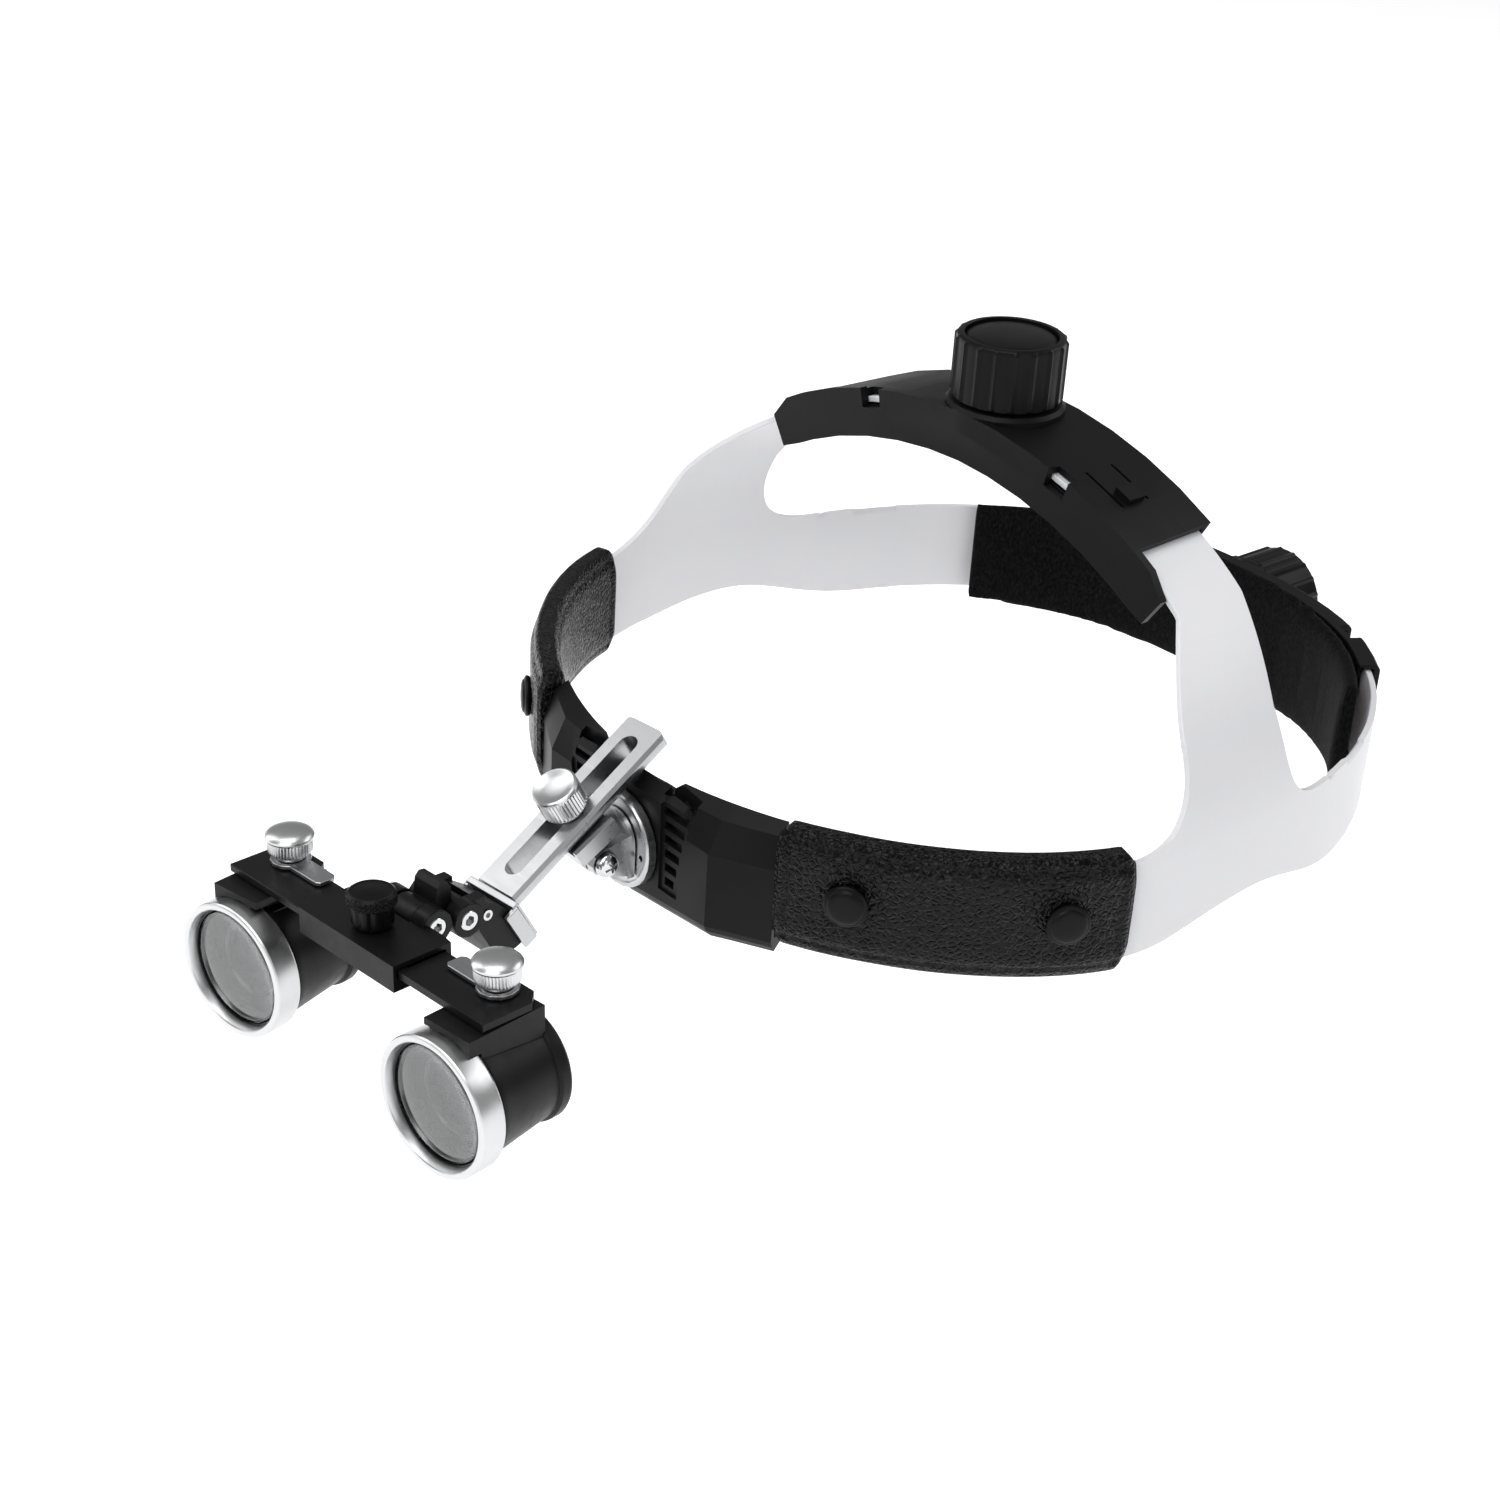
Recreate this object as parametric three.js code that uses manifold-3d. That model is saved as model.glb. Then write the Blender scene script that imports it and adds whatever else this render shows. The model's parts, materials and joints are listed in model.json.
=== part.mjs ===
// Dental loupes on a headband: a padded ratchet headband that carries a pair of flip-up
// magnifying barrels on a slotted, tilting arm.
// Frame: millimetres. The wearer faces -Y, the wearer's left is +X, +Z is up. The origin is in
// the middle of the headband, where the wearer's head sits.
import * as THREE from 'three';
import { mergeVertices } from 'three/addons/utils/BufferGeometryUtils.js';
import Module from 'manifold-3d';

const wasm = await Module();
wasm.setup();

// ---------------------------------------------------------------- driving dimensions
const GAP = 0.3; // clearance between pieces that touch

// Headband: a ring seen from above, made of a front and a rear superellipse.
const BAND_HALF_WIDTH = 89;
const BAND_FRONT = 72;
const BAND_REAR = 120;
const FRONT_POWER = 1.8;
const REAR_POWER = 2.45;
const STRAP_THICK = 1.4;
const STRAP_TOP = 9;
const STRAP_BOTTOM = -13.8;
const STRAP_MIDDLE = (STRAP_TOP + STRAP_BOTTOM) / 2;

// Crown arch: rises from the top of the band on both sides of the head.
const ARCH_RISE = 60;
const ARCH_TOP = STRAP_TOP + ARCH_RISE;
const ARCH_POWER = 1.9;
const ARCH_SPLIT_Z = 30; // the side frame ends and the crown strap begins here
const CROWN_Y = 30; // fore and aft place of the crown knob
const CROWN_BAND_HALF = 10.6; // half width of the crown strap inside its housing

// Brow housing and its padded sleeves.
const BROW_FACE_Y = -71.5;
const BROW_FLAT = 27; // half width of the flat front, from which the wings turn back
const BROW_TURN = 29; // degrees
const BROW_END = 40.5; // band length at which the housing ends
const SLEEVE_START = BROW_END + GAP;
const SLEEVE_END = 112.5;
const SLEEVE_TOP = 14.6;
const SLEEVE_BOTTOM = -12.8;
const SNAP_PLACES = [56, 98.8];
const SNAP_BORE = 2.2;
const SLEEVE_HALF_THICK = 3.6;

// Ratchet dials, the same part at the crown and at the back.
const DIAL_RADIUS = 12.5;
const DIAL_HEIGHT = 14.5;
const DIAL_SEAT_RADIUS = 10.2; // recess for the cap
const DIAL_SEAT_DEPTH = 1.6;
const PINION_RADIUS = 3.4;
const STEM_RADIUS = 4.76;

// Arm that carries the loupes.
const TILT_Y = -82;
const TILT_Z = -4.8;
const TILT_BORE = 1.65;
const BAR_SLOPE = 30; // degrees below the horizontal, forwards
const BAR_FACE = new THREE.Vector3(0, -87, 6.7); // point on the bar's flat face
const BAR_SWING = 5; // degrees that the bar is turned on its clamp stud
const BAR_WIDTH = 11.8;
const BAR_THICK = 5.2;
const BAR_UP = 25;
const BAR_DOWN = 23.5;
const SLOT_UP = 21.2;
const SLOT_DOWN = 18.6;
const SLOT_WIDTH = 4.6;
const STUD_RADIUS = 1.9;

// Flip-up hinge and bridge, before the bar's swing is applied.
const PIN_REAR = [-119.2, -4.1];
const PIN_FRONT = [-127.2, -2.7];
const PIN_RADIUS = 1.3;
const PIN_BORE = 1.4;
const PIN_SINK = 2.35; // radius of the sink round each pin's ends
const KNUCKLE_RADIUS = 3.7;
const BRIDGE_HALF = 15.3;
const BRIDGE_FRONT = -143.7;
const BRIDGE_TOP = -1.5;
const BRIDGE_BOTTOM = -7.3;
const IPD_Y = -137;
const IPD_BORE = 2.08;

// Optical barrels.
const BARREL_X = 33.4;
const BARREL_Z = -21.1;
const LENS_FACE_Y = -150.3;
const BEZEL_RADIUS = 14.8;
const BARREL_RADIUS = 13.6;
const CLAMP_BORE = 1.7;
const CLAMP_Y = -132.8;
const BARREL_YAW = { left: 3, right: 6 }; // degrees, as the barrels are left on their clamps

// ---------------------------------------------------------------- materials
const FINISH = {
  blackPlastic: [0x1b1b1d, 0.5, 0],
  blackKnob: [0x161618, 0.4, 0],
  whitePlastic: [0xe9eaec, 0.25, 0],
  leather: [0x141415, 0.7, 0],
  foam: [0x2b2b2d, 0.95, 0],
  velvet: [0x0c0c0d, 0.98, 0],
  blackMetal: [0x17171a, 0.42, 0.3],
  silver: [0xc9cbce, 0.28, 1],
  chrome: [0xe2e3e5, 0.12, 1],
  glass: [0x8a9296, 0.05, 0],
};

function finish(name) {
  const [color, roughness, metalness] = FINISH[name];
  return new THREE.MeshStandardMaterial({ color, roughness, metalness });
}

// ---------------------------------------------------------------- geometry helpers
const rad = THREE.MathUtils.degToRad;
const part = new THREE.Group();

// Merges shared vertices and drops triangles that have no area.
function weld(geometry) {
  const bare = new THREE.BufferGeometry();
  bare.setAttribute('position', geometry.getAttribute('position').clone());
  if (geometry.index) bare.setIndex(geometry.index.clone());
  const merged = mergeVertices(bare, 1e-4);
  const old = merged.index.array;
  const kept = [];
  for (let i = 0; i < old.length; i += 3) {
    const [a, b, c] = [old[i], old[i + 1], old[i + 2]];
    if (a !== b && b !== c && c !== a) kept.push(a, b, c);
  }
  merged.setIndex(kept);
  return merged;
}

function toSolid(geometry) {
  const g = outward(geometry);
  return new wasm.Manifold(new wasm.Mesh({
    numProp: 3,
    vertProperties: new Float32Array(g.getAttribute('position').array),
    triVerts: new Uint32Array(g.index.array),
  }));
}

function fromSolid(solid) {
  const mesh = solid.getMesh();
  const g = new THREE.BufferGeometry();
  g.setAttribute('position', new THREE.BufferAttribute(new Float32Array(mesh.vertProperties), 3));
  g.setIndex(Array.from(mesh.triVerts));
  return g;
}

function cut(geometry, ...tools) {
  let solid = toSolid(geometry);
  for (const tool of tools) solid = solid.subtract(toSolid(tool));
  return fromSolid(solid);
}

function join(geometry, ...others) {
  let solid = toSolid(geometry);
  for (const other of others) solid = solid.add(toSolid(other));
  return fromSolid(solid);
}

function common(a, b) {
  return fromSolid(toSolid(a).intersect(toSolid(b)));
}

function signedVolume(g) {
  const p = g.getAttribute('position');
  const [a, b, c] = [new THREE.Vector3(), new THREE.Vector3(), new THREE.Vector3()];
  let volume = 0;
  for (let i = 0; i < g.index.count; i += 3) {
    a.fromBufferAttribute(p, g.index.getX(i));
    b.fromBufferAttribute(p, g.index.getX(i + 1));
    c.fromBufferAttribute(p, g.index.getX(i + 2));
    volume += a.dot(b.cross(c)) / 6;
  }
  return volume;
}

// Turns the faces over where a mirror or a map has left them facing inwards.
function outward(geometry) {
  const g = weld(geometry);
  if (signedVolume(g) < 0) {
    const index = g.index.array;
    for (let i = 0; i < index.length; i += 3) [index[i], index[i + 1]] = [index[i + 1], index[i]];
  }
  return g;
}

function mirrored(geometry, side) {
  return side > 0 ? geometry : outward(geometry.clone().scale(-1, 1, 1));
}

function box(x0, x1, y0, y1, z0, z1) {
  const g = new THREE.BoxGeometry(x1 - x0, y1 - y0, z1 - z0);
  return g.translate((x0 + x1) / 2, (y0 + y1) / 2, (z0 + z1) / 2);
}

// Solid of revolution about Z from [radius, height] points.
function turned(points, sides = 16) {
  const profile = points.map(([r, h]) => new THREE.Vector2(r, h));
  return outward(new THREE.LatheGeometry(profile, sides).rotateX(Math.PI / 2));
}

function cylinder(radius, z0, z1, sides = 12) {
  return turned([[0, z0], [radius, z0], [radius, z1], [0, z1]], sides);
}

function cylinderX(radius, x0, x1, y, z, sides = 12) {
  return cylinder(radius, x0, x1, sides).rotateY(Math.PI / 2).translate(0, y, z);
}

// Extrudes a list of [x, y] points, or a Shape, from z0 to z1.
function plate(outline, z0, z1, curveSegments = 6) {
  const shape = Array.isArray(outline)
    ? new THREE.Shape(outline.map(([x, y]) => new THREE.Vector2(x, y)))
    : outline;
  const options = { depth: z1 - z0, bevelEnabled: false, curveSegments };
  return outward(new THREE.ExtrudeGeometry(shape, options).translate(0, 0, z0));
}

// Extrudes a [y, z] outline along X.
function prismX(outline, x0, x1) {
  const turn = new THREE.Matrix4().makeBasis(
    new THREE.Vector3(0, 1, 0), new THREE.Vector3(0, 0, 1), new THREE.Vector3(1, 0, 0));
  return outward(plate(outline, x0, x1).applyMatrix4(turn));
}

function stadium(halfLength, radius) {
  const shape = new THREE.Shape();
  shape.absarc(halfLength - radius, 0, radius, -Math.PI / 2, Math.PI / 2);
  shape.absarc(radius - halfLength, 0, radius, Math.PI / 2, 1.5 * Math.PI);
  return shape;
}

// Outline of a ribbed or toothed wheel: the radius changes between two values.
function wheel(radius, depth, teeth, hole = 0) {
  const shape = new THREE.Shape();
  for (let i = 0; i < teeth * 4; i++) {
    const angle = (i / (teeth * 4)) * 2 * Math.PI;
    const r = i % 4 < 2 ? radius : radius - depth;
    const point = [r * Math.cos(angle), r * Math.sin(angle)];
    if (i === 0) shape.moveTo(...point);
    else shape.lineTo(...point);
  }
  shape.closePath();
  if (hole > 0) {
    const bore = new THREE.Path();
    bore.absarc(0, 0, hole, 0, 2 * Math.PI, true);
    shape.holes.push(bore);
  }
  return shape;
}

// Lofts a closed section along u. section(u) gives [v, h] points, map(u, v, h) the place.
function loft(map, stations, section) {
  const rings = stations.map((u) => section(u).map(([v, h]) => map(u, v, h)));
  const n = rings[0].length;
  const vertices = rings.flat().flatMap((p) => [p.x, p.y, p.z]);
  const faces = [];
  for (let i = 0; i < rings.length - 1; i++) {
    for (let j = 0; j < n; j++) {
      const [a, b] = [i * n + j, i * n + ((j + 1) % n)];
      faces.push(a, b, a + n, b, b + n, a + n);
    }
  }
  for (const [end, flip] of [[0, true], [rings.length - 1, false]]) {
    const flat = section(stations[end]).map(([v, h]) => new THREE.Vector2(v, h));
    const clockwise = THREE.ShapeUtils.isClockWise(flat);
    for (const [a, b, c] of THREE.ShapeUtils.triangulateShape(flat, [])) {
      const triangle = [a, b, c].map((k) => k + end * n);
      if (flip !== clockwise) triangle.reverse();
      faces.push(...triangle);
    }
  }
  const g = new THREE.BufferGeometry();
  g.setAttribute('position', new THREE.Float32BufferAttribute(vertices, 3));
  g.setIndex(faces);
  return g;
}

function evenSteps(from, to, step) {
  const count = Math.max(1, Math.round(Math.abs(to - from) / step));
  return Array.from({ length: count + 1 }, (_, i) => from + ((to - from) * i) / count);
}

// Multiples of a step between two values, with both ends, so that neighbouring bands bend alike.
function gridSteps(from, to, step) {
  const sign = Math.sign(to - from);
  const stations = [from];
  for (let k = Math.floor((from * sign) / step) + 1; k * step < to * sign - 0.1; k++) {
    if (k * step > from * sign + 0.1) stations.push(k * step * sign);
  }
  return [...stations, to];
}

function rectangle(v0, v1, h0, h1) {
  return [[v0, h0], [v1, h0], [v1, h1], [v0, h1]];
}

function add(name, geometry, finishName) {
  const mesh = new THREE.Mesh(outward(geometry), finish(finishName));
  mesh.name = name;
  part.add(mesh);
}

const SIDES = [['left', 1], ['right', -1]];

// ---------------------------------------------------------------- headband surfaces
// Ring point by angle from the front (0) over the wearer's left side to the back (PI).
function ringByAngle(angle) {
  const [s, c] = [Math.sin(angle), Math.cos(angle)];
  const [depth, power] = c > 0 ? [BAND_FRONT, FRONT_POWER] : [BAND_REAR, REAR_POWER];
  return new THREE.Vector2(
    BAND_HALF_WIDTH * Math.abs(s) ** (2 / power) * Math.sign(s),
    -depth * Math.abs(c) ** (2 / power) * Math.sign(c));
}

const RING_STEPS = 720;
const ringTable = [{ length: 0, point: ringByAngle(0) }];
for (let i = 1; i <= RING_STEPS; i++) {
  const point = ringByAngle((i / RING_STEPS) * Math.PI);
  const last = ringTable[i - 1];
  ringTable.push({ length: last.length + point.distanceTo(last.point), point });
}
const HALF_RING = ringTable[RING_STEPS].length;

// Ring point by arc length from the front centre; negative lengths lie on the right side.
function ringByLength(s) {
  const length = Math.min(Math.abs(s), HALF_RING);
  const i = Math.max(1, ringTable.findIndex((row) => row.length >= length));
  const [a, b] = [ringTable[i - 1], ringTable[i]];
  const point = a.point.clone().lerp(b.point, (length - a.length) / (b.length - a.length));
  return s < 0 ? point.setX(-point.x) : point;
}

// Place at arc length s and height z, moved outwards from the strap's middle.
function onBand(s, z, out) {
  const ahead = ringByLength(Math.min(s + 0.5, HALF_RING));
  const behind = ringByLength(s - 0.5);
  const along = ahead.sub(behind).normalize();
  const p = ringByLength(s);
  return new THREE.Vector3(p.x + along.y * out, p.y - along.x * out, z);
}

// The same, by arc length from the back centre; positive lengths lie on the left side.
function onRear(s, z, out) {
  const p = onBand(HALF_RING - Math.abs(s), z, out);
  return s < 0 ? p.setX(-p.x) : p;
}

function ringHalfWidthAt(y) {
  const [depth, power] = y < 0 ? [BAND_FRONT, FRONT_POWER] : [BAND_REAR, REAR_POWER];
  const share = Math.min(1, Math.abs(y) / depth) ** power;
  return BAND_HALF_WIDTH * (1 - share) ** (1 / power);
}

function archPoint(t, y) {
  const [s, c] = [Math.sin(rad(t)), Math.cos(rad(t))];
  const x = ringHalfWidthAt(y) * Math.sign(s) * Math.abs(s) ** (2 / ARCH_POWER);
  const z = STRAP_TOP + ARCH_RISE * Math.abs(c) ** (2 / ARCH_POWER);
  return new THREE.Vector3(x, y, z);
}

// Place on the crown arch: t in degrees from the top, y fore and aft, moved outwards.
function onArch(t, y, out) {
  const along = archPoint(t + 0.5, y).sub(archPoint(t - 0.5, y));
  const across = archPoint(t, y + 0.5).sub(archPoint(t, y - 0.5));
  const normal = along.cross(across).normalize();
  if (normal.z < 0) normal.negate();
  return archPoint(t, y).addScaledVector(normal, out);
}

function archAngleAtHeight(z) {
  const share = ((z - STRAP_TOP) / ARCH_RISE) ** (ARCH_POWER / 2);
  return THREE.MathUtils.radToDeg(Math.acos(share));
}

// ---------------------------------------------------------------- side frames
// The front tongue, the leg up to the crown and the rear leg, cut to outline from one sheet.
const SIDE_REAR_Y = 74;
const SIDE_OUTLINE = new THREE.Shape();
SIDE_OUTLINE.moveTo(-70, -10.8);
SIDE_OUTLINE.lineTo(-10, -10.8);
SIDE_OUTLINE.bezierCurveTo(4, -9.5, 12, -6.5, 25, -6.5);
SIDE_OUTLINE.bezierCurveTo(40, -6.5, 48, -13.8, 66, STRAP_BOTTOM);
SIDE_OUTLINE.lineTo(SIDE_REAR_Y, STRAP_BOTTOM);
SIDE_OUTLINE.lineTo(SIDE_REAR_Y, STRAP_TOP);
SIDE_OUTLINE.lineTo(52, STRAP_TOP);
SIDE_OUTLINE.bezierCurveTo(39, STRAP_TOP, 33, 14, 34.5, ARCH_SPLIT_Z - GAP / 2);
SIDE_OUTLINE.lineTo(5.5, ARCH_SPLIT_Z - GAP / 2);
SIDE_OUTLINE.bezierCurveTo(4, 20, 0, 13, -10, 11.3);
SIDE_OUTLINE.lineTo(-58, 11.3);
SIDE_OUTLINE.lineTo(-58, 2.8);
SIDE_OUTLINE.lineTo(-70, 2.8);
SIDE_OUTLINE.closePath();

// Edge of the crown strap, front or rear, at angle t on the arch.
const STRAP_EDGE_T = [72, 62, 55, 51, 48];
const STRAP_EDGE_FRONT = [5.2, 7.5, 10.5, 15, CROWN_Y - CROWN_BAND_HALF];
const STRAP_EDGE_REAR = [34.3, 36.5, 38, 39.3, CROWN_Y + CROWN_BAND_HALF];

function strapEdge(t, edge) {
  const row = STRAP_EDGE_T.findIndex((step) => t >= step);
  if (row === 0) return edge[0];
  if (row < 0) return edge[edge.length - 1];
  const share = (t - STRAP_EDGE_T[row]) / (STRAP_EDGE_T[row - 1] - STRAP_EDGE_T[row]);
  return THREE.MathUtils.lerp(edge[row], edge[row - 1], share);
}

function sideFrame(side) {
  const half = STRAP_THICK / 2;
  const angles = evenSteps(archAngleAtHeight(ARCH_SPLIT_Z + 4), 88, 8);
  const lows = [STRAP_BOTTOM - 2, STRAP_TOP - 1];
  const lengths = evenSteps(SLEEVE_START - 2.5, HALF_RING - 84, 9);
  const inner = lengths.map((s) => sheetColumn(s, lows, angles, -half));
  const outer = lengths.map((s) => sheetColumn(s, lows, angles, half));
  const sheet = closedSheet(outer, inner);
  const blank = prismX(SIDE_OUTLINE, 20, 110);
  const rivets = SNAP_PLACES.map((s) => snapHole(s, SNAP_BORE));
  return mirrored(cut(common(sheet, blank), ...rivets), side);
}

// One column of the side sheet, from the lower edge up, at band length s.
function sheetColumn(s, lows, angles, out) {
  const p = ringByLength(s);
  const low = lows.map((z) => onBand(s, z, out));
  const high = [...angles].reverse().map((t) => onArch(t, p.y, out));
  return [...low, ...high];
}

// Closes two grids of points, an outer and an inner one, into a sheet with thickness.
function closedSheet(outer, inner) {
  const [columns, rows] = [outer.length, outer[0].length];
  const vertices = [...outer.flat(), ...inner.flat()].flatMap((p) => [p.x, p.y, p.z]);
  const at = (layer, i, j) => layer * columns * rows + i * rows + j;
  const faces = [];
  const quad = (a, b, c, d) => faces.push(a, b, c, a, c, d);
  for (let i = 0; i < columns - 1; i++) {
    for (let j = 0; j < rows - 1; j++) {
      quad(at(0, i, j), at(0, i + 1, j), at(0, i + 1, j + 1), at(0, i, j + 1));
      quad(at(1, i, j), at(1, i, j + 1), at(1, i + 1, j + 1), at(1, i + 1, j));
    }
    quad(at(0, i, 0), at(1, i, 0), at(1, i + 1, 0), at(0, i + 1, 0));
    const top = rows - 1;
    quad(at(0, i, top), at(0, i + 1, top), at(1, i + 1, top), at(1, i, top));
  }
  for (let j = 0; j < rows - 1; j++) {
    const last = columns - 1;
    quad(at(0, 0, j), at(0, 0, j + 1), at(1, 0, j + 1), at(1, 0, j));
    quad(at(0, last, j), at(1, last, j), at(1, last, j + 1), at(0, last, j + 1));
  }
  const g = new THREE.BufferGeometry();
  g.setAttribute('position', new THREE.Float32BufferAttribute(vertices, 3));
  g.setIndex(faces);
  return outward(g);
}

// From a pinion's centre to the edge of the rack beside it, at a half pitch counted from its end.
function rackReach(halfPitch) {
  return PINION_RADIUS + GAP + (Math.round(halfPitch) % 2 ? 0.6 : 0);
}

// Strap that runs from a side frame up into the crown housing and ends in a toothed rack.
function crownStrap(side) {
  const half = STRAP_THICK / 2;
  const start = archAngleAtHeight(ARCH_SPLIT_Z + GAP * 2);
  const [rackStart, pitch] = [15, 1.25]; // degrees on the arch
  const blade = evenSteps(start, rackStart + 1, 4);
  const rack = evenSteps(rackStart, -rackStart, pitch);
  const wide = (t) => [strapEdge(t, STRAP_EDGE_FRONT), strapEdge(t, STRAP_EDGE_REAR)];
  const arm = (t) => {
    const reach = rackReach((rackStart - t) / pitch);
    return side > 0
      ? [CROWN_Y + reach, CROWN_Y + CROWN_BAND_HALF]
      : [CROWN_Y - CROWN_BAND_HALF, CROWN_Y - reach];
  };
  return loft((t, y, out) => onArch(t * side, y, out), [...blade, ...rack], (t) => {
    const [y0, y1] = t > rackStart ? wide(t) : arm(t);
    return rectangle(y0, y1, -half, half);
  });
}

// Strap that runs from a side frame's rear leg into the rear housing, with its rack.
function rearStrap(side) {
  const half = STRAP_THICK / 2;
  const start = rearLengthAtY(SIDE_REAR_Y + GAP);
  const [rackStart, pitch] = [23, 2];
  const blade = gridSteps(start, rackStart + 1, 6);
  const rack = evenSteps(rackStart, -rackStart, pitch);
  return loft((s, z, out) => onRear(s * side, z, out), [...blade, ...rack], (s) => {
    if (s > rackStart) return rectangle(STRAP_BOTTOM, STRAP_TOP, -half, half);
    const reach = rackReach((rackStart - s) / pitch);
    return side > 0
      ? rectangle(STRAP_MIDDLE + reach, STRAP_TOP, -half, half)
      : rectangle(STRAP_BOTTOM, STRAP_MIDDLE - reach, -half, half);
  });
}

function rearLengthAtY(y) {
  const row = ringTable.find(({ point }) => point.y >= y);
  return HALF_RING - row.length;
}

// ---------------------------------------------------------------- padded sleeves and snaps
// Axis of a snap button: a cylinder of the given radius through the band at length s.
function snapHole(s, radius, from = -6, to = 6) {
  return placeOnBand(cylinder(radius, from, to, 10), s, 1);
}

// Moves a piece made about Z so that Z points out of the band at length s.
function placeOnBand(geometry, s, z) {
  const base = onBand(s, z, 0);
  const tip = onBand(s, z, 1).sub(base);
  const turn = new THREE.Quaternion().setFromUnitVectors(new THREE.Vector3(0, 0, 1), tip);
  return geometry.clone().applyQuaternion(turn).translate(base.x, base.y, base.z);
}

function leatherSleeve(side) {
  const [top, bottom] = [SLEEVE_TOP, SLEEVE_BOTTOM];
  const [thick, edge] = [SLEEVE_HALF_THICK, SLEEVE_HALF_THICK - 1];
  const outline = [
    [bottom, -edge], [bottom + 1.6, -thick], [top - 1.6, -thick], [top, -edge],
    [top, edge], [top - 1.6, thick], [bottom + 1.6, thick], [bottom, edge],
  ];
  const body = loft(onBand, evenSteps(SLEEVE_START, SLEEVE_END, 9), () => outline);
  const pocketHalf = STRAP_THICK / 2 + GAP;
  const pocket = loft(onBand, evenSteps(SLEEVE_START - 1, SLEEVE_END + 1, 9.2),
    () => rectangle(STRAP_BOTTOM + 2.6, STRAP_TOP + 3.2, -pocketHalf, pocketHalf));
  const holes = SNAP_PLACES.map((s) => snapHole(s, SNAP_BORE));
  return mirrored(cut(body, pocket, ...holes), side);
}

// Snap button: domed cap outside, post through the sleeve and strap, flange inside.
function snapButton(s, side) {
  const profile = [
    [0, -4.8], [3.4, -4.6], [3.6, -3.9], [1.8, -3.9], [1.8, 3.9],
    [4.4, 3.9], [4.4, 4.6], [3.7, 5.3], [2.4, 5.5], [0, 5.6],
  ];
  return mirrored(placeOnBand(turned(profile, 10), s, 1), side);
}

// ---------------------------------------------------------------- brow housing
function browFace(x) {
  return BROW_FACE_Y + Math.max(0, Math.abs(x) - BROW_FLAT) * Math.tan(rad(BROW_TURN));
}

// Inner face of the housing, which follows the band.
function browBack(x) {
  const share = Math.abs(x) / BAND_HALF_WIDTH;
  return -BAND_FRONT * (1 - share ** FRONT_POWER) ** (1 / FRONT_POWER) + 3.6;
}

// Heights and depth of the sloped top: it dips in the middle, under the arm, and starts lower
// on the wings.
function browTop(x) {
  const { smoothstep } = THREE.MathUtils;
  const dip = 1 - smoothstep(Math.abs(x), 10.8, 13.5);
  return {
    crease: 8.3 - 4.5 * smoothstep(Math.abs(x), 18, 20),
    shoulder: 10.6 - 1.3 * dip,
    ridge: 12.7 - 2.3 * dip,
    depth: Math.min(3.5, (browBack(x) - browFace(x)) * 0.45),
  };
}

const BROW_HALF_STATIONS = [5, 10.8, 12.2, 13.5, 18, 19, 20, 23.5, 27, 31, 35, 39, 43];
const BROW_STATIONS = [...BROW_HALF_STATIONS.map((x) => -x).reverse(), 0, ...BROW_HALF_STATIONS];
const BROW_WALL = 1.6;
const acrossX = (x, y, z) => new THREE.Vector3(x, y, z);

function browHousing() {
  const body = loft(acrossX, BROW_STATIONS, (x) => {
    const [face, back] = [browFace(x), browBack(x)];
    const { crease, shoulder, ridge, depth } = browTop(x);
    const bottom = -18.8 + 2.5 * Math.min(1, Math.abs(x) / 28);
    return [
      [back, bottom + 1], [face + 2, bottom], [face + 0.6, bottom + 1.6], [face, bottom + 3],
      [face, crease], [face + depth, shoulder], [back, ridge],
    ];
  });
  const hollow = loft(acrossX, BROW_STATIONS, (x) => {
    const [front, back] = [browFace(x) + BROW_WALL, browBack(x) + 2];
    const { crease, shoulder, depth } = browTop(x);
    const top = shoulder - 1.7;
    return [
      [back, -13], [front, -13], [front, Math.min(crease, top) - 0.8], [front + depth, top],
      [back, top],
    ];
  });
  const ends = SIDES.map(([, side]) => mirrored(
    loft(onBand, evenSteps(BROW_END, BROW_END + 14, 7), () => rectangle(-30, 30, -12, 14)), side));
  return cut(body, hollow, ...ends, ...browVents());
}

// On each side of the mount disc: a shallow recess with six slots, and a window above it.
function browVents() {
  const recess = plate([[11.4, 9], [20.6, 9], [17.4, -12], [11.4, -12]], 0, 4)
    .rotateX(Math.PI / 2).translate(0, BROW_FACE_Y + 0.6, 0);
  const window = box(9.8, 20, BROW_FACE_Y + 1.9, BROW_FACE_Y + 4, 8, 18);
  const slots = [0, 1, 2, 3, 4, 5].map((row) => {
    const z = 6.9 - row * 3.3;
    return box(11.8 + row * 0.2, 19.3 - row * 0.7, BROW_FACE_Y - 2, BROW_FACE_Y + 6,
      z - 0.95, z + 0.95);
  });
  const tools = [recess, window, ...slots];
  return SIDES.flatMap(([, side]) => tools.map((tool) => mirrored(tool, side)));
}

// Stations of a piece that lies behind the housing and ends at the given half width.
function browSteps(half) {
  return evenSteps(-half, half, 6);
}

function browInnerCover() {
  return loft(acrossX, browSteps(36), (x) => {
    const back = browBack(x);
    return [[back - 0.1, -12.7], [back - 1.3, -12.7], [back - 1.3, 6.4], [back - 0.1, 6.4]];
  });
}

function browPad() {
  return loft(acrossX, browSteps(35), (x) => {
    const back = browBack(x) + GAP;
    return [
      [back, -13.5], [back + 2.6, -12.5], [back + 3.4, -8], [back + 3.4, 5],
      [back + 2.6, 9], [back, 10],
    ];
  });
}

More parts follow.
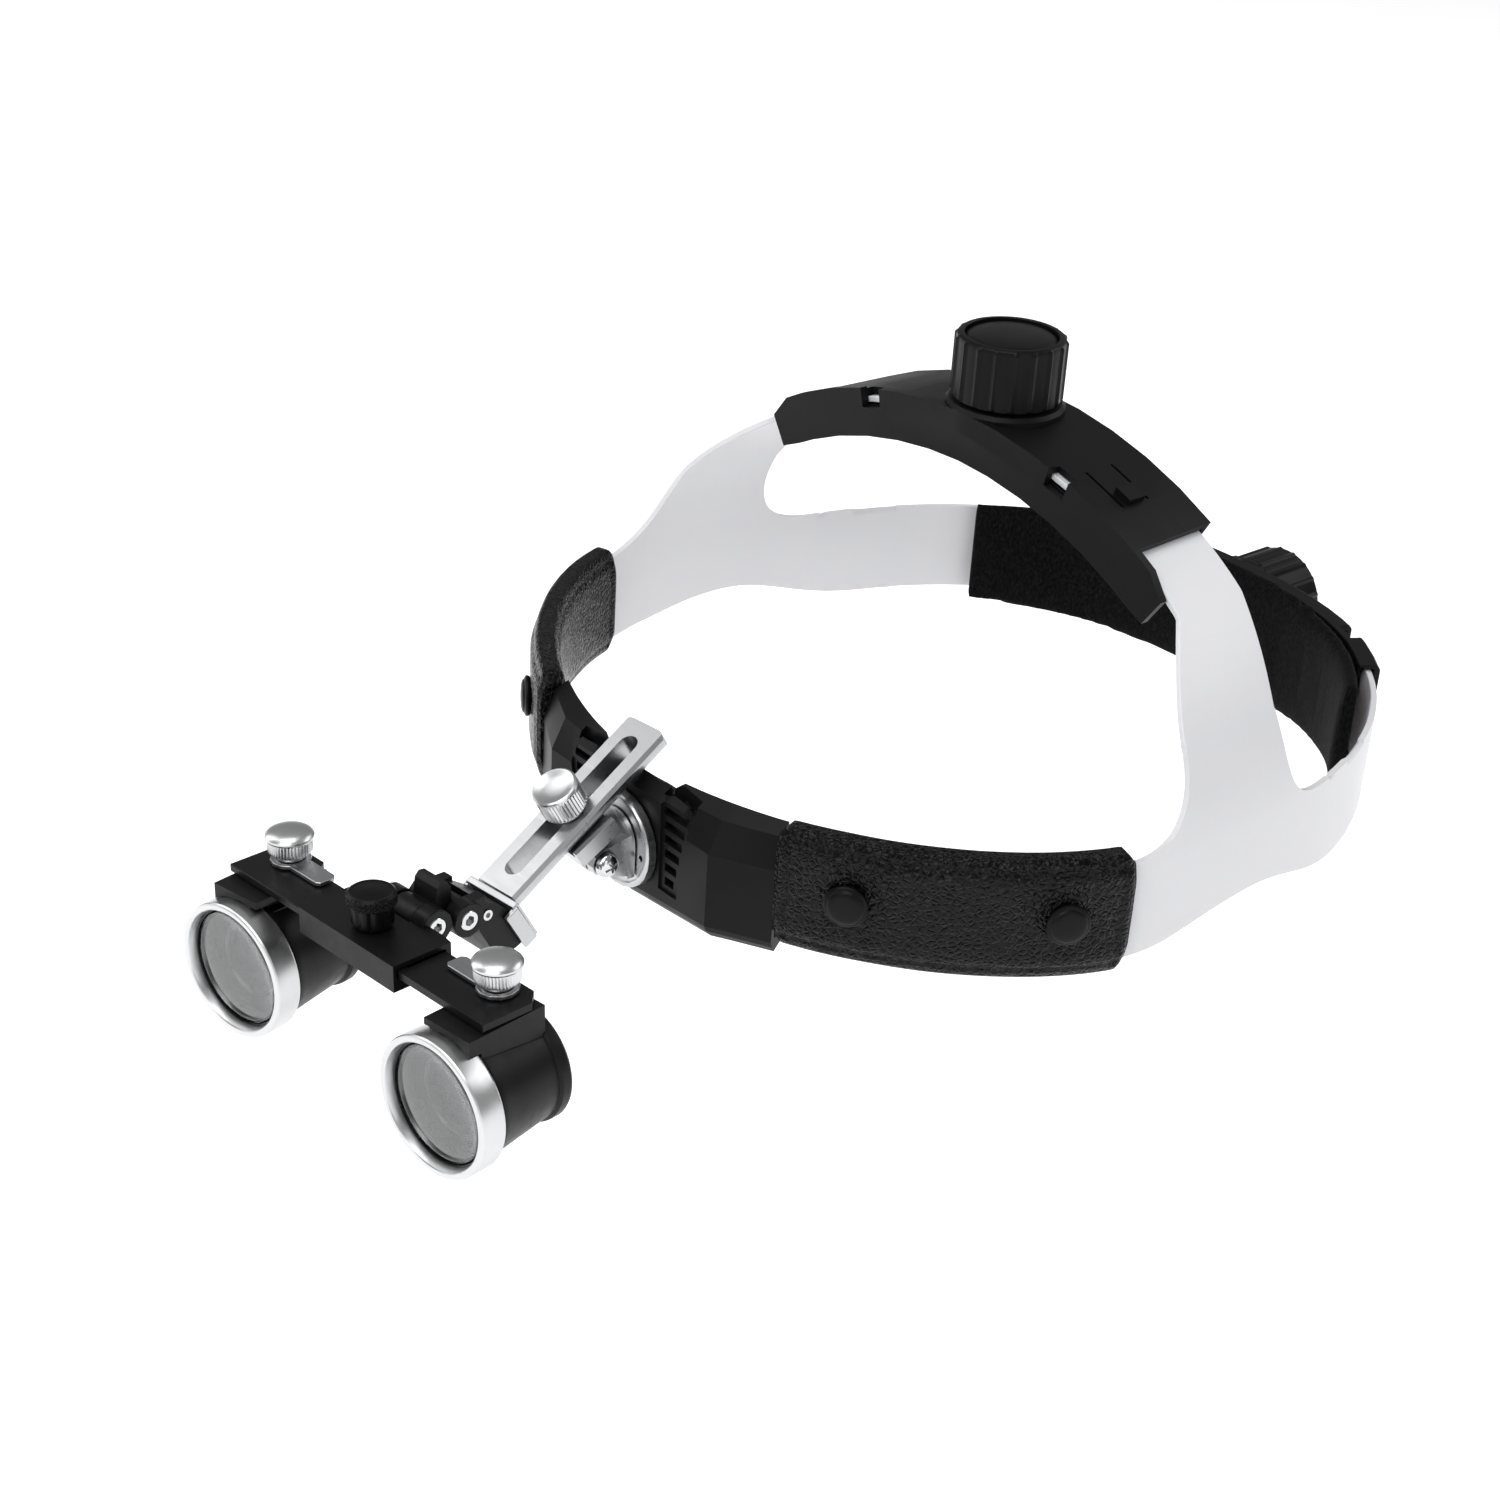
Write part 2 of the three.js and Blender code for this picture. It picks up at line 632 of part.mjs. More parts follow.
// ---------------------------------------------------------------- crown and rear ratchets
const CROWN_PLATE_T = 36.5;
const CROWN_SKIRT_T = 45;
const CROWN_SHELL_HALF = 12.8;
const CROWN_SHELL_INSIDE = 11.1;
const SHELL_IN = 1.2; // inner face of a ratchet housing, out from the strap's middle
const SHELL_OUT = 2.7;
const COLLAR_RADIUS = 13.4;
const STEM_BORE = STEM_RADIUS + 0.09;

// Raised ring that a dial sits on, made about Z.
function dialCollar(bottom, top) {
  return turned([
    [4, bottom], [COLLAR_RADIUS, bottom], [COLLAR_RADIUS, top - 0.8], [COLLAR_RADIUS - 0.8, top],
    [4, top], [4, bottom],
  ], 20);
}

function crownHousing() {
  const steps = evenSteps(-CROWN_PLATE_T, CROWN_PLATE_T, 7.3);
  const [front, rear] = [CROWN_Y - CROWN_SHELL_HALF, CROWN_Y + CROWN_SHELL_HALF];
  const [inFront, inRear] = [CROWN_Y - CROWN_SHELL_INSIDE, CROWN_Y + CROWN_SHELL_INSIDE];
  const shell = loft(onArch, steps, () => [
    [front, -2], [inFront, -2], [inFront, SHELL_IN], [inRear, SHELL_IN], [inRear, -3.4],
    [rear, -3.4], [rear, SHELL_OUT], [front, SHELL_OUT],
  ]);
  const skirtSteps = [-CROWN_SKIRT_T, -40.5, ...steps, 40.5, CROWN_SKIRT_T];
  const skirt = loft(onArch, skirtSteps, (t) => {
    const end = THREE.MathUtils.smoothstep(Math.abs(t), 40, CROWN_SKIRT_T);
    return rectangle(front - 0.2, inFront, -8 + 0.8 * end, 3.1 - 2.6 * end);
  });
  const collar = dialCollar(-1.5, 3.9).translate(0, CROWN_Y, ARCH_TOP);
  const inside = loft(onArch, evenSteps(-20, 20, 4), () => rectangle(inFront, inRear, -6, SHELL_IN));
  const bore = cylinder(STEM_BORE, -6, 8, 20).translate(0, CROWN_Y, ARCH_TOP);
  const windows = [-1, 1].map((side) => loft(onArch, [18.3 * side, 22.3 * side],
    () => rectangle(16, 20.5, -1.4, 4)));
  const latch = loft(onArch, evenSteps(26, 29, 1.5), () => rectangle(26, 31, SHELL_IN + 0.5, 4));
  const grooves = [24.5, 32.5].map((y) => loft(onArch, evenSteps(21, 29, 4),
    () => rectangle(y - 0.35, y + 0.35, 2, 4)));
  const body = join(shell, skirt, cut(collar, inside));
  return join(cut(body, bore, ...windows, ...grooves), latch);
}

function crownInnerCover() {
  const half = CROWN_SHELL_INSIDE - GAP;
  return loft(onArch, evenSteps(-35.5, 35.5, 6.5),
    () => rectangle(CROWN_Y - half, CROWN_Y + half, -2.2, -1.1));
}

function crownPad() {
  return loft(onArch, evenSteps(-39, 39, 5.2), (t) => {
    const end = THREE.MathUtils.smoothstep(Math.abs(t), 33, 39);
    const [top, thick] = [-2.6, 6 - 2.6 * end];
    const section = [
      [10.6, top], [10.9, top - thick * 0.6], [9.6, top - thick],
      [-9.6, top - thick], [-10.7, top - thick * 0.6], [-10.6, top],
    ];
    return section.map(([y, out]) => [CROWN_Y + y, out]);
  });
}

const REAR_SHELL = 60;
const REAR_PAD = 75;
const REAR_INSIDE_TOP = 9.5;
const REAR_INSIDE_BOTTOM = -14.5;

function rearHousing() {
  const steps = gridSteps(-REAR_SHELL, REAR_SHELL, 6);
  const body = loft(onRear, steps, (s) => {
    const end = THREE.MathUtils.smoothstep(Math.abs(s), 46, REAR_SHELL);
    const [top, bottom] = [11 - 0.6 * end, -16 + 0.8 * end];
    return [
      [bottom, -2.4], [REAR_INSIDE_BOTTOM, -2.4], [REAR_INSIDE_BOTTOM, SHELL_IN],
      [REAR_INSIDE_TOP, SHELL_IN], [REAR_INSIDE_TOP, -2.4], [top, -2.4],
      [top, 1.9], [top - 1, SHELL_OUT], [bottom + 1, SHELL_OUT], [bottom, 1.9],
    ];
  });
  const wall = BAND_REAR + SHELL_IN;
  const collar = alongRear(dialCollar(wall - 1, wall + 3.8));
  const inside = loft(onRear, evenSteps(-24, 24, 6),
    () => rectangle(REAR_INSIDE_BOTTOM, REAR_INSIDE_TOP, -6, SHELL_IN));
  const bore = alongRear(cylinder(STEM_BORE, BAND_REAR - 6, BAND_REAR + 8, 20));
  const windows = [-1, 1].map((side) => loft(onRear, [40 * side, 46 * side],
    () => rectangle(5.5, 12, -0.6, 4)));
  return cut(join(body, cut(collar, inside)), bore, ...windows);
}

// Turns a piece made about +Z so that its axis points backwards at the strap's height.
function alongRear(geometry) {
  return geometry.clone().rotateX(-Math.PI / 2).translate(0, 0, STRAP_MIDDLE);
}

function rearInnerCover() {
  return loft(onRear, gridSteps(-58, 58, 6),
    () => rectangle(REAR_INSIDE_BOTTOM + GAP, REAR_INSIDE_TOP - GAP, -2.2, -1.1));
}

function rearPad() {
  return loft(onRear, gridSteps(-REAR_PAD, REAR_PAD, 6), (s) => {
    const middle = 1 - (s / REAR_PAD) ** 2;
    const [top, bottom] = [11.4 + 2 * middle, -15.6 - 3 * middle];
    return [
      [bottom, -3.6], [top, -3.6], [top, -6.4], [top - 1.6, -8], [bottom + 1.6, -8],
      [bottom, -6.4],
    ];
  });
}

// A dial: ribbed skirt with a recessed top, a stem, and a pinion at the strap's level.
function dialKnob() {
  const grip = plate(wheel(DIAL_RADIUS, 0.55, 10), 0, DIAL_HEIGHT - 1.2);
  const crown = turned([
    [0, DIAL_HEIGHT - 1.3], [DIAL_RADIUS - 0.5, DIAL_HEIGHT - 1.3],
    [DIAL_RADIUS - 0.7, DIAL_HEIGHT - 0.4], [DIAL_RADIUS - 1.2, DIAL_HEIGHT], [0, DIAL_HEIGHT],
  ], 20);
  const seat = cylinder(DIAL_SEAT_RADIUS, DIAL_HEIGHT - DIAL_SEAT_DEPTH, DIAL_HEIGHT + 1, 20);
  const stem = cylinder(STEM_RADIUS, -2.5, 0.5, 20);
  const socket = cylinder(1.6, -3, 5);
  return cut(join(grip, crown, stem), seat, socket);
}

function dialCap() {
  const [base, radius] = [DIAL_HEIGHT - DIAL_SEAT_DEPTH + GAP, DIAL_SEAT_RADIUS - GAP];
  return turned([
    [0, base], [radius, base], [radius, base + 1], [7, base + 1.5], [0, base + 1.7],
  ], 20);
}

// Pinion with its shaft pressed up into the dial's stem.
function dialPinion(drop) {
  const gear = plate(wheel(PINION_RADIUS, 0.7, 10), -drop - 0.8, -drop + 0.8);
  return join(gear, cylinder(1.3, -drop, 4.4));
}

const CROWN_DIAL_Z = ARCH_TOP + 4.3;
const CROWN_PINION_DROP = CROWN_DIAL_Z - ARCH_TOP;
const REAR_DIAL_Y = BAND_REAR + SHELL_IN + 4.2;
const REAR_PINION_DROP = REAR_DIAL_Y - BAND_REAR;

function addRatchet(prefix, place, drop) {
  add(`${prefix}_knob`, place(dialKnob()), 'blackKnob');
  add(`${prefix}_knob_cap`, place(dialCap()), 'blackKnob');
  add(`${prefix}_pinion`, place(dialPinion(drop)), 'blackKnob');
}

// ---------------------------------------------------------------- tilting arm
const slope = rad(BAR_SLOPE);
const BAR_ALONG = new THREE.Vector3(0, -Math.cos(slope), -Math.sin(slope));
const BAR_NORMAL = new THREE.Vector3(0, -Math.sin(slope), Math.cos(slope));

// Places a piece whose X runs down the bar, Y across it and Z out of its face.
const BAR_FRAME = new THREE.Matrix4().makeBasis(
  BAR_ALONG, new THREE.Vector3(1, 0, 0), BAR_NORMAL).setPosition(BAR_FACE);

function onBar(geometry) {
  return outward(geometry.clone().applyMatrix4(BAR_FRAME));
}

// Everything that hangs on the clamp stud is turned about it by the bar's swing.
function swung(geometry) {
  const toStud = new THREE.Matrix4().makeTranslation(BAR_FACE.clone().negate());
  const turn = new THREE.Matrix4().makeRotationAxis(BAR_NORMAL, rad(BAR_SWING));
  const back = new THREE.Matrix4().makeTranslation(BAR_FACE);
  return geometry.clone().applyMatrix4(back.multiply(turn).multiply(toStud));
}

const DISC_RADIUS = 11;
const DISC_THICK = 2;
const CLEVIS_HALF = 6.6;
const TONGUE_HALF = 3.9;

function mountDisc() {
  const disc = turned([
    [0, -DISC_THICK], [DISC_RADIUS, -DISC_THICK], [DISC_RADIUS, 0], [DISC_RADIUS - 0.4, 0.5],
    [DISC_RADIUS - 1.1, 0.5], [DISC_RADIUS - 1.5, 0], [0, 0],
  ], 24).rotateX(Math.PI / 2).translate(0, BROW_FACE_Y - GAP - DISC_THICK, TILT_Z + 0.2);
  const hole = cylinder(0.7, -3, 3, 12).rotateX(Math.PI / 2)
    .translate(8, BROW_FACE_Y - DISC_THICK, TILT_Z - 1);
  return cut(disc, hole);
}

// Arched bracket on the disc: two ears that hold the tilt screw.
function clevis() {
  const front = BROW_FACE_Y - GAP * 2 - DISC_THICK;
  const half = CLEVIS_HALF;
  const arch = new THREE.Shape();
  arch.moveTo(-half, -6);
  arch.lineTo(half, -6);
  arch.lineTo(half, 1);
  arch.absarc(0, 1, half, 0, Math.PI);
  arch.closePath();
  const foot = plate(arch, 0, 1.8).rotateX(Math.PI / 2).translate(0, front, TILT_Z);
  const ears = [-1, 1].map((side) => {
    const ear = prismX([
      [front - 1, TILT_Z + 4.4], [TILT_Y, TILT_Z + 3.2], [TILT_Y - 2.4, TILT_Z + 2],
      [TILT_Y - 3.2, TILT_Z], [TILT_Y - 2.4, TILT_Z - 2], [TILT_Y, TILT_Z - 3.2],
      [front - 1, TILT_Z - 5.6],
    ], TONGUE_HALF + GAP, half);
    return mirrored(ear, side);
  });
  const bore = cylinderX(TILT_BORE, -9, 9, TILT_Y, TILT_Z);
  return cut(join(foot, ...ears), bore);
}

function tiltScrew() {
  const shank = cylinderX(TILT_BORE - 0.1, -7.4, 7, TILT_Y, TILT_Z);
  const head = turned([[0, 6.9], [2.7, 6.9], [2.7, 8], [1.9, 8.9], [0, 9.1]])
    .rotateY(Math.PI / 2).translate(0, TILT_Y, TILT_Z);
  const cross = [0, 90].map((angle) => box(-1.5, 1.5, -0.3, 0.3, 8.3, 10).rotateZ(rad(angle + 20))
    .rotateY(Math.PI / 2).translate(0, TILT_Y, TILT_Z));
  return cut(join(shank, head), ...cross);
}

function tiltNut() {
  const nut = cut(cylinder(3, -9.4, -6.9, 6), cylinder(TILT_BORE, -10, -6));
  return nut.rotateY(Math.PI / 2).translate(0, TILT_Y, TILT_Z);
}

const SADDLE_FLOOR = -BAR_THICK - GAP;

// Saddle: a tongue round the tilt screw under a channel that the bar lies in.
function saddle() {
  const floor = SADDLE_FLOOR;
  const bed = box(-5, 6, -7, 7, floor - 2.4, floor);
  const lips = [-1, 1].map((side) => mirroredY(box(-5, 6, 6.4, 7.6, floor - 2.4, floor + 1.6), side));
  const under = BAR_FACE.clone().addScaledVector(BAR_NORMAL, floor - 2.2);
  const tongue = prismX([
    [under.y - 3.6, under.z - 2.1], [TILT_Y - 3.3, TILT_Z], [TILT_Y - 2.3, TILT_Z - 2.4],
    [TILT_Y, TILT_Z - 3.3], [TILT_Y + 2.3, TILT_Z - 2.4], [TILT_Y + 3.3, TILT_Z],
    [under.y + 4.4, under.z + 2.5],
  ], -TONGUE_HALF, TONGUE_HALF);
  const knuckle = cylinderX(3.3, -TONGUE_HALF, TONGUE_HALF, TILT_Y, TILT_Z);
  const bore = cylinderX(TILT_BORE, -9, 9, TILT_Y, TILT_Z);
  const studBore = cylinder(STUD_RADIUS + 0.1, floor - 4.6, 1);
  return cut(join(onBar(join(bed, ...lips)), tongue, knuckle), bore, onBar(studBore));
}

function clampStud() {
  return swung(onBar(cylinder(STUD_RADIUS, SADDLE_FLOOR - 2.2, 6.2)));
}

function thumbKnob() {
  const grip = plate(wheel(5, 0.4, 10, 2), 1.2, 6.8);
  const flange = cut(cylinder(4.2, GAP, 1.3), cylinder(2, 0, 2));
  const crown = cut(turned([
    [0, 6.6], [4.7, 6.6], [4.7, 7.3], [4.4, 7.6], [3.4, 7.4], [0, 7.1],
  ]), cylinder(2, 6, 6.4));
  return swung(onBar(join(grip, flange, crown)));
}

// Bar with a flat face, a rounded back and a long slot.
function slottedBar() {
  const [width, thick] = [BAR_WIDTH, BAR_THICK];
  const profile = new THREE.Shape();
  profile.moveTo(-width / 2, -0.9);
  profile.lineTo(-width / 2 + 0.6, 0);
  profile.lineTo(width / 2 - 0.6, 0);
  profile.lineTo(width / 2, -0.9);
  profile.bezierCurveTo(width / 2, -3.4, width / 2 - 2.2, -thick, width / 2 - 3.4, -thick);
  profile.lineTo(3.4 - width / 2, -thick);
  profile.bezierCurveTo(2.2 - width / 2, -thick, -width / 2, -3.4, -width / 2, -0.9);
  const turn = new THREE.Matrix4().makeBasis(
    new THREE.Vector3(0, 1, 0), new THREE.Vector3(0, 0, 1), new THREE.Vector3(1, 0, 0));
  const body = plate(profile, -BAR_UP, BAR_DOWN - 1, 6).applyMatrix4(turn);
  const slot = plate(stadium((SLOT_DOWN + SLOT_UP) / 2, SLOT_WIDTH / 2), -8, 2)
    .translate((SLOT_DOWN - SLOT_UP) / 2, 0, 0);
  const [half, corner] = [width / 2 + GAP, 2.4];
  const blank = new THREE.Shape();
  blank.moveTo(BAR_DOWN, -half);
  blank.lineTo(BAR_DOWN, half);
  blank.absarc(corner - BAR_UP, half - corner, corner, Math.PI / 2, Math.PI);
  blank.absarc(corner - BAR_UP, corner - half, corner, Math.PI, 1.5 * Math.PI);
  blank.closePath();
  return swung(onBar(cut(common(outward(body), plate(blank, -8, 2)), slot)));
}

// Foot at the lower end of the bar: a thin tray that wraps the back of the hinge block.
function barFoot() {
  const wall = box(BAR_DOWN - 1 + GAP, BAR_DOWN + 0.9, -7.6, 7.6, -10.5, 0);
  const returns = [-1, 1].map((side) => mirroredY(box(BAR_DOWN, BAR_DOWN + 3.4, 6.9, 8.1, -10.5, -0.6),
    side));
  return swung(onBar(join(wall, ...returns)));
}

function mirroredY(geometry, side) {
  return side > 0 ? geometry : outward(geometry.clone().scale(1, -1, 1));
}

// ---------------------------------------------------------------- flip-up hinge and bridge
function alongPin(pin, radius, x0, x1) {
  return cylinderX(radius, x0, x1, pin[0], pin[1]);
}

// Widths across the hinge: the middle link runs between the outer knuckles.
const LINK_HALF = 3.6;
const HINGE_HALF = 7.8;
const BLOCK_HALF = 6.6;
const SET_SCREW_AT = [PIN_REAR[0] + 5.4, PIN_REAR[1] - 1.2];

function hingeBlock() {
  const start = BAR_FACE.clone().addScaledVector(BAR_ALONG, BAR_DOWN + 1.2);
  const [y, z] = [start.y, start.z];
  const body = prismX([
    [y, z - 0.4], [PIN_REAR[0] + 3.4, PIN_REAR[1] + 3], [PIN_REAR[0] + 3.4, PIN_REAR[1] - 4.2],
    [y - 2.6, z - 11.6], [y + 5, z - 9],
  ], -BLOCK_HALF, BLOCK_HALF);
  const cheeks = [-1, 1].map((side) => {
    const arm = prismX([
      [PIN_REAR[0] + 5, PIN_REAR[1] + 3.4], [PIN_REAR[0], PIN_REAR[1] + 3.4],
      [PIN_REAR[0], PIN_REAR[1] - 3.4], [PIN_REAR[0] + 5, PIN_REAR[1] - 3.8],
    ], LINK_HALF + GAP, BLOCK_HALF);
    const knuckle = alongPin(PIN_REAR, KNUCKLE_RADIUS, LINK_HALF + GAP, HINGE_HALF);
    return mirrored(join(arm, knuckle), side);
  });
  const bore = alongPin(PIN_REAR, PIN_BORE, -12, 12);
  const sink = [-1, 1].map((side) => mirrored(alongPin(PIN_REAR, PIN_SINK, HINGE_HALF - 1.2, 12), side));
  const setBore = cylinderX(1.3, 5.6, 9, ...SET_SCREW_AT);
  return swung(cut(join(body, ...cheeks), bore, ...sink, setBore));
}

function hingeLink() {
  const length = Math.hypot(PIN_FRONT[0] - PIN_REAR[0], PIN_FRONT[1] - PIN_REAR[1]);
  const web = box(-length / 2, length / 2, -LINK_HALF, LINK_HALF, -2.6, 2.8);
  const angle = Math.atan2(PIN_FRONT[1] - PIN_REAR[1], PIN_REAR[0] - PIN_FRONT[0]);
  const middle = [(PIN_REAR[0] + PIN_FRONT[0]) / 2, (PIN_REAR[1] + PIN_FRONT[1]) / 2];
  const placed = web.rotateZ(Math.PI / 2).rotateX(-angle).translate(0, ...middle);
  const rib = prismX([
    [PIN_REAR[0] - 1.2, PIN_REAR[1] + 2], [PIN_REAR[0] - 1.2, PIN_REAR[1] + 6.6],
    [PIN_REAR[0] - 2.2, PIN_REAR[1] + 8], [PIN_REAR[0] - 3.6, PIN_REAR[1] + 8.2],
    [PIN_REAR[0] - 4.6, PIN_REAR[1] + 7.2], [PIN_REAR[0] - 5.4, PIN_REAR[1] + 2],
  ], -LINK_HALF, LINK_HALF);
  const knuckles = [PIN_REAR, PIN_FRONT].map((pin) => alongPin(pin, 3.3, -LINK_HALF, LINK_HALF));
  const bores = [PIN_REAR, PIN_FRONT].map((pin) => alongPin(pin, PIN_BORE, -12, 12));
  return swung(cut(join(placed, rib, ...knuckles), ...bores));
}

// Hinge pin: a screw with a socket head on the left and a plain end on the right.
function hingePin(pin) {
  const shank = alongPin(pin, PIN_RADIUS, -HINGE_HALF + 0.4, HINGE_HALF - 1);
  const head = alongPin(pin, 2.1, HINGE_HALF - 1.1, HINGE_HALF + 0.1);
  const socket = cylinder(1.1, HINGE_HALF - 0.8, HINGE_HALF + 1, 6).rotateY(Math.PI / 2)
    .translate(0, ...pin);
  return swung(cut(join(shank, head), socket));
}

function setScrew() {
  const body = cylinderX(1.2, 5.7, 6.9, ...SET_SCREW_AT);
  const socket = cylinder(0.6, 6.2, 8, 6).rotateY(Math.PI / 2).translate(0, ...SET_SCREW_AT);
  return swung(cut(body, socket));
}

const SLIDE_TOP = BRIDGE_TOP - 1.3;
const SLIDE_BOTTOM = SLIDE_TOP - 1.7;
const SLIDE_FRONT = BRIDGE_FRONT + 1.1;
const SLIDE_REAR = BRIDGE_FRONT + 12.5;
const SLIDE_INNER = BRIDGE_HALF + GAP;
const RACK_REACH = 6.5; // how far each rack arm runs past the pinion
const RACK_CLEAR = 3.4; // from the pinion's centre to the tips of a rack's teeth
const RACK_TOOTH = 0.5;
const RACK_PITCH = 2.2;

function bridge() {
  const [shoulder, heel] = [PIN_FRONT[0] - 2.5, PIN_FRONT[0] - 1.4];
  const outline = [
    [-BRIDGE_HALF, BRIDGE_FRONT], [BRIDGE_HALF, BRIDGE_FRONT], [BRIDGE_HALF, shoulder],
    [HINGE_HALF, heel], [-HINGE_HALF, heel], [-BRIDGE_HALF, shoulder],
  ];
  const body = plate(outline, BRIDGE_BOTTOM, BRIDGE_TOP);
  const cheeks = [-1, 1].map((side) => {
    const arm = box(LINK_HALF + GAP, HINGE_HALF, heel - 2.4, PIN_FRONT[0], PIN_FRONT[1] - 3.4,
      PIN_FRONT[1] + 1.2);
    const knuckle = alongPin(PIN_FRONT, KNUCKLE_RADIUS, LINK_HALF + GAP, HINGE_HALF);
    return mirrored(join(arm, knuckle), side);
  });
  const relief = cylinderX(KNUCKLE_RADIUS + 0.5, -LINK_HALF - GAP, LINK_HALF + GAP, ...PIN_FRONT);
  const bore = alongPin(PIN_FRONT, PIN_BORE, -12, 12);
  const sink = [-1, 1].map((side) => mirrored(alongPin(PIN_FRONT, PIN_SINK, HINGE_HALF - 1.2, 12), side));
  const channel = box(-20, 20, SLIDE_FRONT - GAP, SLIDE_REAR + GAP, SLIDE_BOTTOM - GAP,
    SLIDE_TOP + GAP);
  const shaft = cylinder(IPD_BORE, SLIDE_BOTTOM, 0).translate(0, IPD_Y, 0);
  const well = cylinder(3.8, SLIDE_BOTTOM - 0.6, SLIDE_TOP + 0.6).translate(0, IPD_Y, 0);
  return swung(cut(join(body, ...cheeks), relief, bore, ...sink, channel, shaft, well));
}

// Knob that spreads or closes the barrels through a pinion between the two slide racks.
function ipdKnob() {
  const grip = plate(wheel(4.3, 0.35, 8), 0.7, 5.7);
  const top = turned([[0, 5.1], [5, 5.1], [5.1, 5.7], [5.1, 7.1], [4.4, 7.9], [0, 8.1]]);
  const stem = cylinder(IPD_BORE - 0.1, SLIDE_TOP - BRIDGE_TOP + 0.2, 0.8);
  return swung(join(grip, top, stem).translate(0, IPD_Y, BRIDGE_TOP));
}

function ipdPinion() {
  const gear = plate(wheel(3, 0.6, 10), SLIDE_BOTTOM + 0.1, SLIDE_TOP - 0.1);
  return swung(gear.translate(0, IPD_Y, 0));
}

// Slide bar: a flat plate for the clamp and a rack arm that passes the pinion inside the bridge,
// in front of it on the left slide and behind it on the right one.
function slideBar(side) {
  const [front, rear, end, back] = [SLIDE_FRONT, SLIDE_REAR, BARREL_X + 7.6, CLAMP_Y + 5];
  const flat = plate([
    [SLIDE_INNER, front], [end, front], [end, back - 3], [end - 3, back], [end - 12, back],
    [end - 14.5, rear], [SLIDE_INNER, rear],
  ], SLIDE_BOTTOM, SLIDE_TOP);
  const outerEdge = side > 0 ? front : rear;
  const toothed = [];
  for (let x = 10; x >= -RACK_REACH; x -= RACK_PITCH / 2) {
    const tooth = toothed.length % 2 ? RACK_TOOTH : 0;
    toothed.push([x, IPD_Y - side * (RACK_CLEAR + tooth)]);
  }
  const arm = plate([
    [SLIDE_INNER + 1, IPD_Y - side * RACK_CLEAR], ...toothed,
    [toothed.at(-1)[0], outerEdge], [SLIDE_INNER + 1, outerEdge],
  ], SLIDE_BOTTOM, SLIDE_TOP);
  const clampBore = cylinder(CLAMP_BORE, -12, 0).translate(BARREL_X, CLAMP_Y, 0);
  return swung(mirrored(cut(join(flat, arm), clampBore), side));
}

// ---------------------------------------------------------------- barrels
// Turns a piece made about Y so that it points where the barrel does.
function onBarrel(geometry, side) {
  const yaw = side > 0 ? BARREL_YAW.left : BARREL_YAW.right;
  const turnedPiece = geometry.clone().translate(0, -CLAMP_Y, 0).rotateZ(rad(yaw));
  return swung(turnedPiece.translate(side * BARREL_X, CLAMP_Y, 0));
}

// Turned about the barrel's own axis, from [radius, distance behind the lens face] points.
function aboutBarrel(points, sides = 20) {
  return turned(points, sides).rotateX(-Math.PI / 2).translate(0, LENS_FACE_Y, BARREL_Z);
}

const BARREL_PROFILE = [
  [11.6, 3.2], [BARREL_RADIUS, 3.2], [BARREL_RADIUS, 6.6], [13.2, 8.2], [11.9, 22], [12.5, 22.4], [12.5, 25],
  [9.6, 25.4], [9.6, 21.6], [10.4, 20], [11.6, 10], [11.6, 3.2],
];

const bezelProfile = (r) => [
  [r - 2.4, 0.5], [r - 1.9, 0], [r - 0.5, 0], [r, 0.5], [r, 5.6], [r - 0.5, 6],
  [BARREL_RADIUS + GAP, 6], [BARREL_RADIUS + GAP, 2.9], [r - 2.4, 2.9], [r - 2.4, 0.5],
];

function lens(radius, front, thick, bulge) {
  const profile = [[0, front - bulge]];
  for (let i = 1; i <= 2; i++) {
    const r = (radius * i) / 2;
    profile.push([r, front - bulge * (1 - (i / 2) ** 2)]);
  }
  profile.push([radius, front + thick], [0, front + thick]);
  return profile;
}

function barrelBracket() {
  const block = box(-5.2, 7.6, CLAMP_Y - 14, CLAMP_Y + 5, SLIDE_BOTTOM - 8, SLIDE_BOTTOM - GAP);
  const groove = box(-8, -3.6, CLAMP_Y - 15, CLAMP_Y - 5.2, SLIDE_BOTTOM - 4,
    SLIDE_BOTTOM - 1.8);
  const barrel = aboutBarrel([
    [0, -4], [BEZEL_RADIUS + 0.2, -4], [BEZEL_RADIUS + 0.2, 6.4], [BARREL_RADIUS + GAP, 6.4],
    [BARREL_RADIUS + GAP, 7], [13.5, 8.2], [12.2, 22], [12.8, 22], [12.8, 30], [0, 30],
  ]);
  const bore = cylinder(CLAMP_BORE, -30, 0).translate(0, CLAMP_Y, 0);
  return cut(block, groove, barrel, bore);
}

// Clamp knob: knurled skirt, domed top and a stud that reaches down into the bracket.
function clampKnob() {
  const skirt = plate(wheel(4.7, 0.35, 8), 2.5, 6.1);
  const top = turned([
    [0, 5.7], [4.9, 5.7], [5.1, 6.1], [4.9, 6.9], [3.6, 7.6], [1.8, 7.9], [0, 8],
  ]);
  const foot = cylinder(3, 1.5, 2.6);
  const stud = cylinder(CLAMP_BORE - 0.1, -5.7, 1.6);
  return join(skirt, top, foot, stud).translate(0, CLAMP_Y, SLIDE_TOP);
}

function clampStrip(side) {
  const strip = plate([[-13, -1.9], [-12, -2.6], [-2.6, -2.6], [-2.6, 2.2], [-12, 2.2], [-13, 1.4]],
    SLIDE_TOP + GAP, SLIDE_TOP + 1.2);
  const washer = cylinder(4.3, SLIDE_TOP + GAP, SLIDE_TOP + 1.2);
  const bore = cylinder(CLAMP_BORE, -12, 0);
  const piece = cut(join(strip, washer), bore).translate(BARREL_X, CLAMP_Y, 0);
  return swung(mirrored(piece, side));
}

